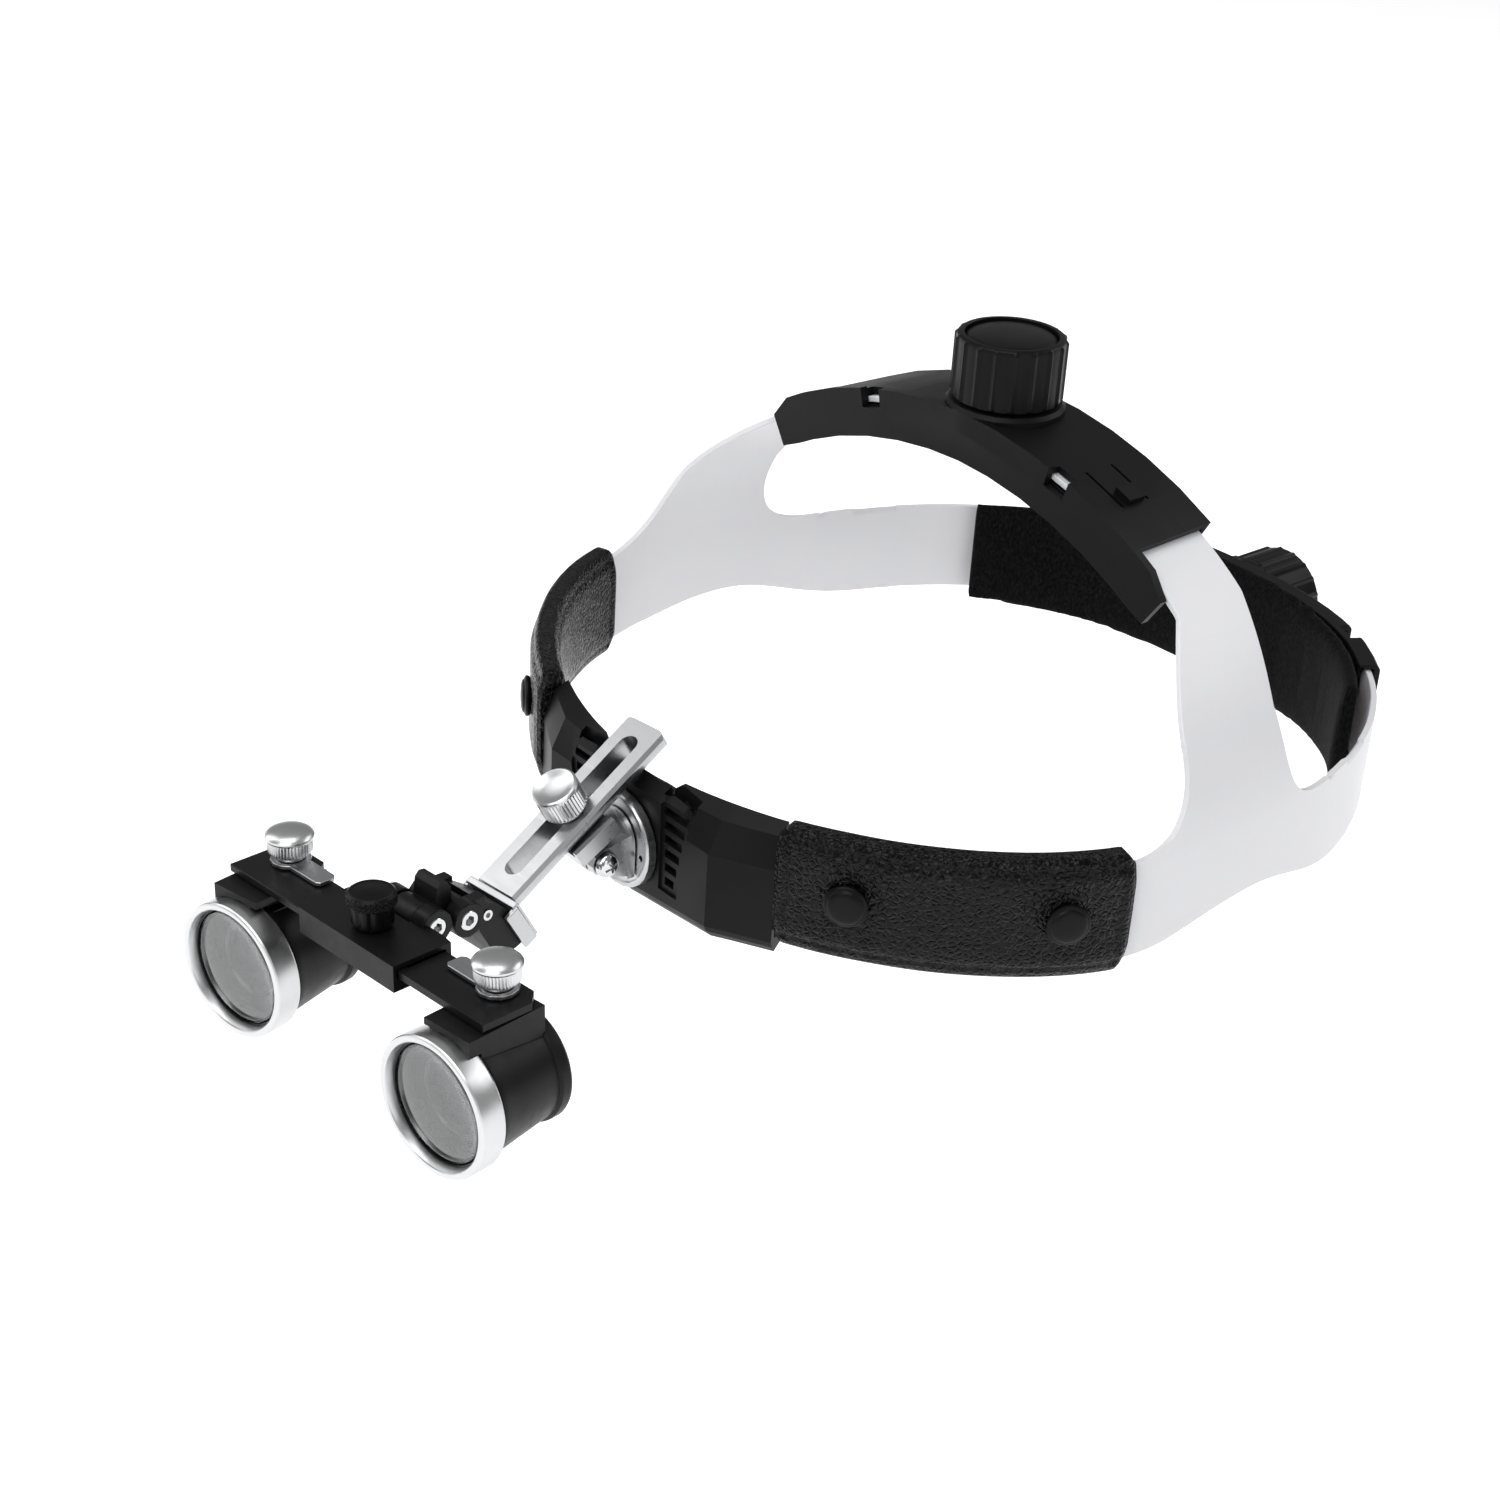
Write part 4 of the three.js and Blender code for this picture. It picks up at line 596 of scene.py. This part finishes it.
def rear_strap(name, side):
    """Strap round the back, from the side frame into the rear housing."""
    start = HALF_RING - length_at_y(SIDE_REAR_Y)
    grids = []
    for out in (STRAP_HALF, -STRAP_HALF):
        grids.append([[on_rear(s, z, out) for z in steps(STRAP_BOTTOM, STRAP_TOP, 10)]
                      for s in steps(start, 24, 40)])
    shape = mirror_x(sheet_between(*grids), side)
    strap = piece(f"rear_strap_{name}_visual", *shape, None, WHITE, (f"rear_strap_{name}",),
                  sharp=55)
    ease_edges(strap, lambda p: p.y < SIDE_REAR_Y + 0.5)
    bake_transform(strap)


# ---------------------------------------------------------------- leather sleeves and snaps
def leather_sleeve(name, side):
    """Padded sleeve: fullest along its middle, pressed in at the snaps and the stitched edges."""
    rows, squareness = 72, 0.32
    seam_depth, dent_depth, lump_height = 0.34, 0.75, 0.16
    start = SLEEVE_START - 0.25
    stations = [start, *steps(start + 0.25, SLEEVE_END - 0.25, 92), SLEEVE_END]

    def section(s):
        end = min(s - start, SLEEVE_END - s)
        tuck = 2.2 * (1 - smooth(end, 0, 2.6)) ** 2
        top, bottom = SLEEVE_TOP - tuck, SLEEVE_BOTTOM + tuck
        middle, half = (top + bottom) / 2, (top - bottom) / 2
        points = []
        for i in range(rows):
            angle = 2 * math.pi * i / rows
            c, d = math.cos(angle), math.sin(angle)
            v = middle + half * math.copysign(abs(c) ** squareness, c)
            edge = half - abs(v - middle)
            swell = 2.7 + 0.8 * smooth(edge, 0.3, 5) + 0.1 * smooth(end, 0, 12)
            seam = seam_depth * math.exp(-((edge - 2.6) / 0.55) ** 2) * (end > 1.5)
            seam += seam_depth * math.exp(-((end - 2.8) / 0.5) ** 2) * (edge > 1.5)
            dent = sum(dent_depth * math.exp(-(((s - at) ** 2 + (v - 1) ** 2) / 34))
                       for at in SNAP_PLACES)
            lump = lump_height * noise.noise(Vector((s / 9 + side * 3, v / 8, d * 2)))
            thick = (swell - seam - dent * (d > 0) + lump) * (0.8 + 0.2 * smooth(end, 0, 1.2))
            points.append((v, thick * math.copysign(abs(d) ** squareness, d)))
        return points

    shape = mirror_x(loft(on_band, stations, section), side)
    sleeve = piece(f"sleeve_{name}", *shape, "headband", LEATHER, (f"leather_sleeve_{name}",),
                   sharp=70)


def snap_button(node, s, side):
    """Domed cap outside, with a rolled rim, on a post through the tongue that ends in leather."""
    cap = [(0, 5.62), (1.2, 5.6), (2.6, 5.48), (3.3, 5.32), (3.75, 5.1), (3.95, 4.78), (4.3, 4.7),
           (4.62, 4.45), (4.7, 4.1), (4.55, 3.7), (4.2, 3.3), (0, 3.2)]
    post = [(0, -3.3), (1.8, -3.3), (1.8, 3.4), (0, 3.4)]
    base = on_band(s, 1, 0)
    out = on_band(s, 1, 1) - base
    mirror = Matrix.Diagonal((side, 1, 1, 1))
    turn = mirror @ axes(base * MM, (0, 0, 1), out)
    shape = joined(lathe(cap, 48), lathe(post, 40))
    piece(node + "_visual", *shape, "headband", BLACK_KNOB, (node,), place=turn)


# ---------------------------------------------------------------- pads
def pad(node, body, shape, paint, voxel, swell, backing):
    """A cushion: cloth pressure blows its shape up, by swell at the most. backing(point) is true
    where the pad is glued to its housing; sizes and points are in millimetres."""
    last_frame = 20
    obj = piece(node + "_visual", *shape, body, paint, (node,), sharp=60)
    remesh = obj.modifiers.new("remesh", "REMESH")
    remesh.mode = "VOXEL"
    remesh.voxel_size = voxel * MM
    settle(obj)
    rest = [v.co.copy() for v in obj.data.vertices]
    held = obj.vertex_groups.new(name="held")
    held.add([i for i, p in enumerate(rest) if backing(p / MM)], 1.0, "REPLACE")
    cloth = obj.modifiers.new("cloth", "CLOTH")
    cloth.settings.quality = 6
    cloth.settings.mass = 0.2
    cloth.settings.tension_stiffness = 12
    cloth.settings.bending_stiffness = 0.4
    cloth.settings.use_pressure = True
    cloth.settings.uniform_pressure_force = 4
    cloth.settings.vertex_group_mass = "held"
    cloth.settings.effector_weights.gravity = 0
    cloth.point_cache.frame_start = 1
    cloth.point_cache.frame_end = last_frame
    for step in range(1, last_frame + 1):
        scene.frame_set(step)
    blown = [v.co.copy() for v in obj.evaluated_get(
        bpy.context.evaluated_depsgraph_get()).data.vertices]
    obj.modifiers.clear()
    obj.vertex_groups.clear()
    scene.frame_set(1)
    most = max((b - a).length for a, b in zip(rest, blown))
    share = min(1.0, swell * MM / most) if most > 0 else 0
    for vertex, a, b in zip(obj.data.vertices, rest, blown):
        vertex.co = a.lerp(b, share)
    obj.modifiers.new("smooth", "SUBSURF").levels = 1
    obj.modifiers["smooth"].render_levels = 1
    for polygon in obj.data.polygons:
        polygon.use_smooth = True


def settle(obj):
    """Applies the modifiers to the mesh."""
    bpy.context.view_layer.update()
    done = bpy.data.meshes.new_from_object(obj.evaluated_get(
        bpy.context.evaluated_depsgraph_get()))
    done.materials.clear()
    done.materials.append(obj.data.materials[0])
    obj.modifiers.clear()
    obj.data = done


def pad_section(low, high, near, far, round_by):
    """Cross-section from the backing at near to the crown at far, with rounded corners."""
    points = [(low + 0.4, near), (high - 0.4, near)]
    middle, half = (low + high) / 2, (high - low) / 2
    for i in range(13):
        angle = math.pi * i / 12
        v = middle + half * math.copysign(abs(math.cos(angle)) ** round_by, math.cos(angle))
        points.append((v, near + (far - near) * (0.12 + 0.88 * math.sin(angle) ** round_by)))
    return points


def crown_pad():
    reach = 38.8  # degrees down the arch on each side

    def section(t):
        return pad_section(19.4, 41, -3, -9.2 + 2.6 * smooth(abs(t), 33, reach), 0.5)

    shape = loft(on_arch, steps(-reach, reach, 44), section)
    pad("crown_pad", "crown", shape, FOAM, 1.5, 0.5, lambda p: arch_depth(p) > -4.8)


def arch_depth(p):
    """How far a point lies above the crown strap's middle surface, measured upwards."""
    share = min(1, abs(p.x) / half_width_at(30)) ** ARCH_POWER
    return p.z - STRAP_TOP - ARCH_RISE * (1 - share) ** (1 / ARCH_POWER)


def rear_pad():
    def section(s):
        middle = 1 - (s / REAR_PAD) ** 2
        return pad_section(-15.3 - 3 * middle, 11.2 + 2 * middle, -3.7, -7.6, 0.45)

    shape = loft(on_rear, steps(-REAR_PAD + 0.4, REAR_PAD - 0.4, 80), section)
    pad("rear_pad", "rear", shape, VELVET, 1.6, 0.6, lambda p: ring_depth(p) > -4.6)


def ring_depth(p):
    """How far a point lies outside the band's middle surface, nearly, at the back."""
    share = (abs(p.x) / BAND_HALF_WIDTH) ** REAR_POWER + (abs(p.y) / BAND_REAR) ** REAR_POWER
    return (share ** (1 / REAR_POWER) - 1) * math.hypot(p.x, p.y)


def brow_back(x):
    """Y of the inner cover's face behind the brow, which the brow pad is glued to."""
    share = abs(x) / BAND_HALF_WIDTH
    return -BAND_FRONT * (1 - share ** FRONT_POWER) ** (1 / FRONT_POWER) + 3.6


def brow_pad():
    def section(x):
        back = brow_back(x) + 0.35
        return pad_section(-13.3, 9.9, back, back + 3.0, 0.5)

    shape = loft(lambda x, v, y: Vector((x, y, v)), steps(-34.8, 34.8, 40), section)
    pad("brow_pad", "headband", shape, FOAM, 1.4, 0.5, lambda p: p.y < brow_back(p.x) + 1.2)


# ---------------------------------------------------------------- ratchet dials
def fluted_grip(radius, flutes, depth, low, high):
    """Grip with broad shallow flutes that fade out at the chamfers."""
    rim = 0.9
    profile = [(radius - 1.3, low), (radius - 0.35, low), (radius, low + 0.35)]
    profile += [(radius, z) for z in steps(low + 0.8, high - rim - 0.6, 3)]
    profile += [(radius, high - rim), (radius - 0.35, high - rim + 0.45),
                (radius - 1.05, high - 0.1), (radius - 1.5, high), (radius - 2.0, high)]
    deep = [0, 0.3] + [1] * 6 + [0.5] + [0] * 3

    def wave(angle, row):
        phase = (angle * flutes / (2 * math.pi)) % 1
        groove = smooth(abs(phase - 0.5), 0.5, 0.32)
        return 1 - deep[min(row, len(deep) - 1)] * depth * groove / radius

    return lathe(profile, 12 * flutes, wave)


def dial(prefix, body, joint):
    """Knob with a recessed, slightly domed cap over a stepped collar."""
    place = axes(JOINTS[joint]["pos_m"], (1, 0, 0), JOINTS[joint]["axis"])
    grip = fluted_grip(12.5, 18, 0.5, 0.5, 14.5)
    rim = lathe([(10.5, 14.5), (10.35, 14.35), (10.3, 13.0), (0, 13.0)], 96)
    under = lathe([(0, 0.55), (11.2, 0.55), (11.2, 0.5)], 96)
    stem = lathe([(0, -2.4), (4.7, -2.4), (4.7, 0.6), (0, 0.6)], 64)
    knob = joined(grip, rim, under, stem)
    piece(f"{prefix}_knob_visual", *knob, body, BLACK_KNOB, (f"{prefix}_knob",), place=place)
    cap = lathe([(0, 14.75), (3, 14.7), (6, 14.52), (8.4, 14.2), (9.5, 13.95), (9.95, 13.6),
                 (10.05, 13.2), (0, 13.2)], 96)
    piece(f"{prefix}_cap_visual", *cap, body, BLACK_KNOB, (f"{prefix}_knob_cap",), place=place)
    from_cad(f"{prefix}_pinion", body, BLACK_KNOB, 0.1)


# ---------------------------------------------------------------- loupe hardware
def ribbed(radius, count, depth, first, last):
    """Straight ribs on the rows from first to last."""
    def wave(angle, row):
        if not first <= row <= last:
            return 1
        return 1 - depth / radius * (0.5 - 0.5 * math.cos(angle * count))
    return wave


def knurled(radius, count, depth, turns, first, last):
    """Diamond knurl: two crossing sets of grooves, on the rows from first to last."""
    def wave(angle, row):
        if not first <= row <= last:
            return 1
        lean = (row - first) / (last - first) * turns * math.pi
        a = abs(math.sin(angle * count / 2 + lean))
        b = abs(math.sin(angle * count / 2 - lean))
        return 1 - depth / radius * (1 - min(a, b)) ** 1.5
    return wave


def clamp_knob(name):
    """Ribbed skirt under a wide, softly domed top, on a short foot."""
    joint = JOINTS[f"clamp_knob_{name}_turn"]
    lift = 1.2  # from the joint's point up to the top of the slide bar
    place = axes(joint["pos_m"], JOINTS["flip_rear"]["axis"], joint["axis"])
    low = lift + 2.5
    skirt = [(0, low), (4.1, low), (4.5, low + 0.3)]
    skirt += [(4.7, z) for z in steps(low + 0.6, low + 3.0, 5)]
    skirt += [(4.6, low + 3.3), (0, low + 3.3)]
    grooved = lathe(skirt, 264, ribbed(4.7, 44, 0.22, 3, 8))
    top = lathe([(0, low + 3.1), (4.6, low + 3.1), (4.95, low + 3.25), (5.1, low + 3.6),
                 (5.05, low + 4.0), (4.75, low + 4.4), (4.2, low + 4.75), (3.4, low + 5.05),
                 (2.3, low + 5.3), (1.1, low + 5.45), (0, low + 5.5)], 96)
    foot = lathe([(0, lift + 1.4), (3.0, lift + 1.4), (3.1, lift + 1.6), (3.1, low + 0.2),
                  (0, low + 0.2)], 64)
    stud = lathe([(0, lift - 5.6), (1.6, lift - 5.6), (1.6, lift + 1.5), (0, lift + 1.5)], 32)
    piece(f"clamp_knob_{name}_visual", *joined(grooved, top, foot, stud), f"clamp_{name}", TURNED,
          (f"clamp_knob_{name}",), place=place, sharp=28)


def thumb_knob():
    """Ribbed grip with a bead round its top and a dished end."""
    joint = JOINTS["thumb_knob_turn"]
    place = axes(joint["pos_m"], (1, 0, 0), joint["axis"])
    grip = [(0, 0.35), (3.9, 0.35), (4.15, 0.5), (4.15, 1.25), (4.7, 1.3), (5, 1.6)]
    grip += [(5, z) for z in steps(1.9, 6.1, 6)]
    grip += [(4.9, 6.5), (4.75, 6.6), (4.95, 6.75), (5.0, 7.0), (4.85, 7.35), (4.5, 7.58)]
    cup = [(4.5, 7.58), (4.1, 7.5), (3.2, 7.18), (2.0, 6.98), (0, 6.9)]
    grooved = lathe(grip, 240, ribbed(5, 40, 0.28, 6, 12))
    piece("thumb_knob_visual", *joined(grooved, lathe(cup, 240)), "thumb", TURNED,
          ("thumb_knob",), place=place, sharp=28)


def knuckles(name, body, pin_joint, radius, spans):
    """Round knuckles of a hinge, about the joint's own axis."""
    joint = JOINTS[pin_joint]
    place = axes(joint["pos_m"], (0, 0, 1), joint["axis"])
    bore, ease = 1.45, 0.3
    shapes = []
    for low, high in spans:
        shapes.append(lathe([(bore, low), (radius - ease, low), (radius, low + ease),
                             (radius, high - ease), (radius - ease, high), (bore, high)], 64))
    piece(name, *joined(*shapes), body, BLACK_METAL, place=place)


def hinge_screw(node, body, pin_joint):
    """Socket screw: shank, round head and a hexagon socket."""
    joint = JOINTS[pin_joint]
    place = axes(joint["pos_m"], (0, 0, 1), joint["axis"])
    head = [(0, 6.5), (1.9, 6.5), (2.15, 6.7), (2.15, 7.7), (1.95, 7.9), (1.25, 7.9)]

    def hexagon(angle, row):
        if row == 0:
            return 1
        return math.cos(math.pi / 6) / math.cos((angle % (math.pi / 3)) - math.pi / 6)

    socket = [(1.25, 7.9), (1.18, 7.88), (1.15, 7.0), (0, 6.9)]
    shank = [(0, -7.4), (1.1, -7.4), (1.3, -7.2), (1.3, 6.6), (0, 6.6)]
    shape = joined(lathe(head, 72), lathe(socket, 72, hexagon), lathe(shank, 40))
    piece(node + "_visual", *shape, body, CHROME, (node,), place=place)


def tilt_screw():
    """Domed head with a cross recess."""
    joint = JOINTS["arm_tilt"]
    place = axes(joint["pos_m"], (0, 0, 1), joint["axis"])
    shape = joined(
        lathe([(0, 6.95), (2.6, 6.95), (2.75, 7.1), (2.75, 7.6), (2.6, 8.1), (2.2, 8.55),
               (1.6, 8.85), (0.9, 9.02), (0, 9.08)], 64),
        lathe([(0, -7.4), (1.35, -7.4), (1.55, -7.2), (1.55, 7.1), (0, 7.1)], 40))
    screw = piece("tilt_screw_visual", *shape, "headband", CHROME, ("tilt_screw",), place=place)
    length, width, floor, top = 1.55, 0.32, 8.15, 9.5
    corners = ((-length, -width), (length, -width), (length, width), (-length, width))
    box = [(x, y, z) for z in (floor, top) for x, y in corners]
    sides = [[0, 1, 2, 3], [4, 7, 6, 5], [0, 4, 5, 1], [1, 5, 6, 2], [2, 6, 7, 3], [3, 7, 4, 0]]
    slots = []
    for angle in (20, 110):
        turn = Matrix.Rotation(math.radians(angle), 4, "Z")
        slots.append(([turn @ Vector(p) for p in box], sides))
    carve(screw, joined(*slots), place)


def carve(obj, shape, place):
    """Cuts a shape, in millimetres, out of a piece."""
    verts, faces = shape
    mesh = bpy.data.meshes.new("cutter")
    mesh.from_pydata([Vector(v) * MM for v in verts], [], faces)
    mesh.transform(place)
    soften(mesh, 30)
    cutter = bpy.data.objects.new("cutter", mesh)
    scene.collection.objects.link(cutter)
    tool = obj.modifiers.new("cut", "BOOLEAN")
    tool.operation = "DIFFERENCE"
    tool.solver = "EXACT"
    tool.use_self = True
    tool.object = cutter
    settle(obj)
    soften(obj.data, 32)
    bpy.data.objects.remove(cutter)


def ipd_knob():
    """Fluted grip under a wider knurled cap with a shallow domed top."""
    joint = JOINTS["ipd_turn"]
    place = axes(joint["pos_m"], (1, 0, 0), joint["axis"])
    grip = [(0, 0.6), (3.9, 0.6), (4.25, 0.85)] + [(4.3, z) for z in steps(1.1, 5.1, 5)]
    grip += [(4.3, 5.3), (0, 5.3)]

    def flutes(angle, row):
        if not 2 <= row <= 8:
            return 1
        return 1 - 0.1 * (0.5 + 0.5 * math.cos(angle * 10)) ** 2

    cap = [(0, 5.2), (4.8, 5.2), (5.05, 5.45)] + [(5.1, z) for z in steps(5.6, 7.1, 8)]
    cap += [(4.95, 7.35), (4.4, 7.75), (4.05, 7.6), (3.6, 7.62), (2, 7.85), (0, 7.95)]
    stem = lathe([(0, -1.1), (1.95, -1.1), (1.95, 0.8), (0, 0.8)], 40)
    knurl = knurled(5.1, 30, 0.3, 1.6, 3, 11)
    shape = joined(lathe(grip, 160, flutes), lathe(cap, 192, knurl), stem)
    piece("ipd_knob_visual", *shape, "ipd_dial", BLACK_KNOB, ("ipd_knob",), place=place, sharp=28)


def barrel(name, side):
    """Tapered barrel, silver bezel, front lens in a dark seat, and eyepiece. Its frame is taken
    from a spot on the flat face of the bezel; Z points out of the eyepiece."""
    mount = MOUNTS[f"lens_face_{name}"]
    forward = Vector(mount["axis"])
    up = Vector(JOINTS["ipd_turn"]["axis"])
    sideways = forward.cross(up).normalized() * -1
    spot_to_axis = 13.6 * MM
    centre = Vector(mount["pos_m"]) - sideways * spot_to_axis * side
    place = axes(centre, sideways, -forward)
    body = f"loupe_{name}"

    shell = [(13.0, 6.4), (13.55, 6.7), (13.62, 7.3), (13.3, 8.4), (12.9, 12), (11.95, 21.6),
             (11.9, 22.0), (12.2, 22.2), (12.55, 22.5), (12.6, 22.9), (12.6, 24.5), (12.4, 24.9),
             (11.9, 25.3), (10.4, 25.4), (9.75, 25.1), (9.6, 24.6), (9.6, 21.8), (10.3, 20.4),
             (11.9, 10), (12.6, 7.4), (12.65, 3.4), (13.2, 3.4), (13.2, 6.4)]
    piece(f"barrel_{name}_visual", *lathe(shell, 128), body, BLACK_METAL, (f"barrel_{name}",),
          place=place, sharp=26)
    ring = [(14.3, 0.0), (14.62, 0.12), (14.8, 0.45), (14.8, 4.9), (14.74, 5.1), (14.74, 5.5),
            (14.5, 5.9), (14.2, 6.0), (13.75, 6.0), (13.7, 3.0), (12.9, 3.0), (12.85, 1.3),
            (13.3, 0.16), (13.5, 0.0), (14.3, 0.0)]
    piece(f"bezel_{name}_visual", *lathe(ring, 160), body, TURNED, (f"bezel_{name}",), place=place,
          sharp=24)
    quarter = steps(math.pi / 2, 0, 20)
    front = [(LENS_RADIUS * math.cos(a), 2.7 - 1.9 * math.sin(a)) for a in quarter]
    front += [(LENS_RADIUS, 5.4), (0, 5.4)]
    piece(f"objective_{name}_visual", *lathe(front, 96), body, GLASS, (f"objective_{name}",),
          place=place)
    rear = [(0, 22.4), (5, 22.55), (9.3, 23.1), (9.3, 24.6), (5, 24.45), (0, 24.4)]
    piece(f"eyepiece_{name}_visual", *lathe(rear, 96), body, GLASS, (f"eyepiece_{name}",),
          place=place)
    # Round the front lens a seat, and behind it two stops.
    seat = [(12.83, 2.2), (12.75, 1.9), (12.6, 2.0), (12.56, 2.6), (12.6, 3.0), (12.83, 3.0),
            (12.83, 2.2)]
    stop = [(11.8, 9), (9.6, 9.2), (9.3, 9.6), (9.3, 10.2), (11.7, 10.4), (11.8, 9)]
    field = [(10.9, 15), (7.4, 15.3), (7.0, 15.8), (7.2, 16.4), (10.8, 16.4), (10.9, 15)]
    inner = joined(lathe(seat, 128), lathe(stop, 96), lathe(field, 96))
    piece(f"lens_seats_{name}", *inner, body, INNER_BLACK, place=place, sharp=26)


# ---------------------------------------------------------------- assembly
for side_name, side_sign in SIDES:
    side_frame(side_name, side_sign)
    crown_strap(side_name, side_sign)
    rear_strap(side_name, side_sign)
    leather_sleeve(side_name, side_sign)
    snap_button(f"snap_front_{side_name}", SNAP_PLACES[0], side_sign)
    snap_button(f"snap_rear_{side_name}", SNAP_PLACES[1], side_sign)
    barrel(side_name, side_sign)
    clamp_knob(side_name)
    from_cad(f"bracket_{side_name}", f"loupe_{side_name}", BLACK_METAL, 0.35)
    from_cad(f"slide_bar_{side_name}", f"slide_{side_name}", BLACK_METAL, 0.25)
    from_cad(f"clamp_strip_{side_name}", f"slide_{side_name}", SILVER, 0.2)

from_cad("brow_housing", "headband", BLACK_PLASTIC, 0.3, 17)
from_cad("brow_inner_cover", "headband", BLACK_PLASTIC, 0.2)
from_cad("crown_housing", "crown", BLACK_PLASTIC, 0.45)
from_cad("crown_inner_cover", "crown", BLACK_PLASTIC, 0.2)
from_cad("rear_housing", "rear", BLACK_PLASTIC, 0.4)
from_cad("rear_inner_cover", "rear", BLACK_PLASTIC, 0.2)
brow_pad()
crown_pad()
rear_pad()
dial("crown", "crown_dial", "crown_knob_turn")
dial("rear", "rear_dial", "rear_knob_turn")

from_cad("mount_disc", "headband", SILVER, 0.2)
from_cad("clevis", "headband", SILVER, 0.35)
from_cad("tilt_nut", "headband", CHROME, 0.2)
from_cad("saddle", "arm", SILVER, 0.35)
from_cad("clamp_stud", "stud", CHROME, 0.15)
from_cad("slotted_bar", "bar", SILVER, 0.28)
from_cad("bar_foot", "bar", SILVER, 0.25)
from_cad("hinge_block", "bar", BLACK_METAL, 0.3)
from_cad("set_screw", "bar", CHROME, 0.08)
from_cad("hinge_link", "link", BLACK_METAL, 0.3)
from_cad("bridge", "loupe_bridge", BLACK_METAL, 0.3)
from_cad("ipd_pinion", "ipd_dial", CHROME, 0.1)
tilt_screw()
thumb_knob()
ipd_knob()
hinge_screw("hinge_pin_rear", "bar", "flip_rear")
hinge_screw("hinge_pin_front", "loupe_bridge", "flip_front")
outer_spans = ((3.9, 7.75), (-7.75, -3.9))
inner_span = ((-3.6, 3.6),)
knuckles("rear_knuckles", "bar", "flip_rear", KNUCKLE_RADIUS, outer_spans)
knuckles("front_knuckles", "loupe_bridge", "flip_front", KNUCKLE_RADIUS, outer_spans)
knuckles("link_rear_knuckle", "link", "flip_rear", LINK_RADIUS, inner_span)
knuckles("link_front_knuckle", "link", "flip_front", LINK_RADIUS, inner_span)


# ---------------------------------------------------------------- stage, light and camera
def stage():
    """A pale floor under the object, a little self-lit to stay near white, and a soft world."""
    swing_room = 48  # the loupes swing this far down when the arm tilts and the hinge opens
    height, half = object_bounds()[0][2] / MM - swing_room, 3000
    verts = [(-half, -half, height), (half, -half, height), (half, half, height),
             (-half, half, height)]
    mesh = bpy.data.meshes.new("floor")
    mesh.from_pydata([Vector(v) * MM for v in verts], [], [[0, 1, 2, 3]])
    paint = Paint("floor", (0.93, 0.93, 0.935), 0.95, Specular_IOR_Level=0.1)
    paint.roughness(paint.noise(3, 2), 0.9, 1.0)
    paint.shader.inputs["Emission Color"].default_value = (1, 1, 1, 1)
    paint.shader.inputs["Emission Strength"].default_value = 0.5
    mesh.materials.append(paint.material)
    floor = bpy.data.objects.new("floor", mesh)
    scene.collection.objects.link(floor)
    floor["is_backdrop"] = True
    world = bpy.data.worlds.new("studio")
    scene.world = world
    world.use_nodes = True
    background = world.node_tree.nodes["Background"]
    background.inputs["Color"].default_value = (1, 1, 1, 1)
    background.inputs["Strength"].default_value = 0.3
    scene.view_settings.view_transform = "Standard"


def area_light(name, position, size, power):
    """Soft rectangular lamp aimed at the middle of the object; metres and watts."""
    light = bpy.data.lights.new(name, "AREA")
    light.shape = "RECTANGLE"
    light.size, light.size_y = size
    light.energy = power
    lamp = bpy.data.objects.new(name, light)
    lamp.location = position
    aim = Vector((0, -0.02, 0)) - Vector(position)
    lamp.rotation_euler = aim.to_track_quat("-Z", "Y").to_euler()
    scene.collection.objects.link(lamp)


def camera():
    """Turned to azimuth and elevation about the headband, then rolled; offset is the camera's
    place from the headband's middle, in metres to the right, upwards and backwards in its view."""
    azimuth, elevation, roll = (math.radians(a) for a in (48.80, 28.40, 3.48))
    offset, focal_length = Vector((-0.029109, -0.005247, 0.601751)), 63.9024
    level = math.cos(elevation)
    back = Vector((math.sin(azimuth) * level, -math.cos(azimuth) * level, math.sin(elevation)))
    right = Vector((math.cos(azimuth), math.sin(azimuth), 0))
    up = back.cross(right)
    tilted_right = right * math.cos(roll) + up * math.sin(roll)
    tilted_up = up * math.cos(roll) - right * math.sin(roll)
    turn = Matrix((tilted_right, tilted_up, back)).transposed()
    data = bpy.data.cameras.new("camera")
    data.sensor_width = 36
    data.lens = focal_length
    data.clip_start = 0.01
    view = bpy.data.objects.new("camera", data)
    view.matrix_world = turn.to_4x4()
    view.location = turn @ offset
    scene.collection.objects.link(view)
    scene.camera = view


stage()
area_light("key", position=(0.35, -0.75, 0.9), size=(0.7, 0.5), power=4.5)
area_light("left", position=(-0.8, -0.5, 0.5), size=(0.5, 0.9), power=3)
area_light("back", position=(0.3, 0.9, 0.7), size=(0.9, 0.5), power=3)
area_light("low", position=(0.9, -0.2, 0.15), size=(0.3, 0.8), power=1)
area_light("top", position=(-0.1, -0.25, 1.2), size=(0.8, 0.8), power=6)
area_light("front", position=(0.16, -1.0, 0.45), size=(0.5, 0.25), power=1.2)
camera()
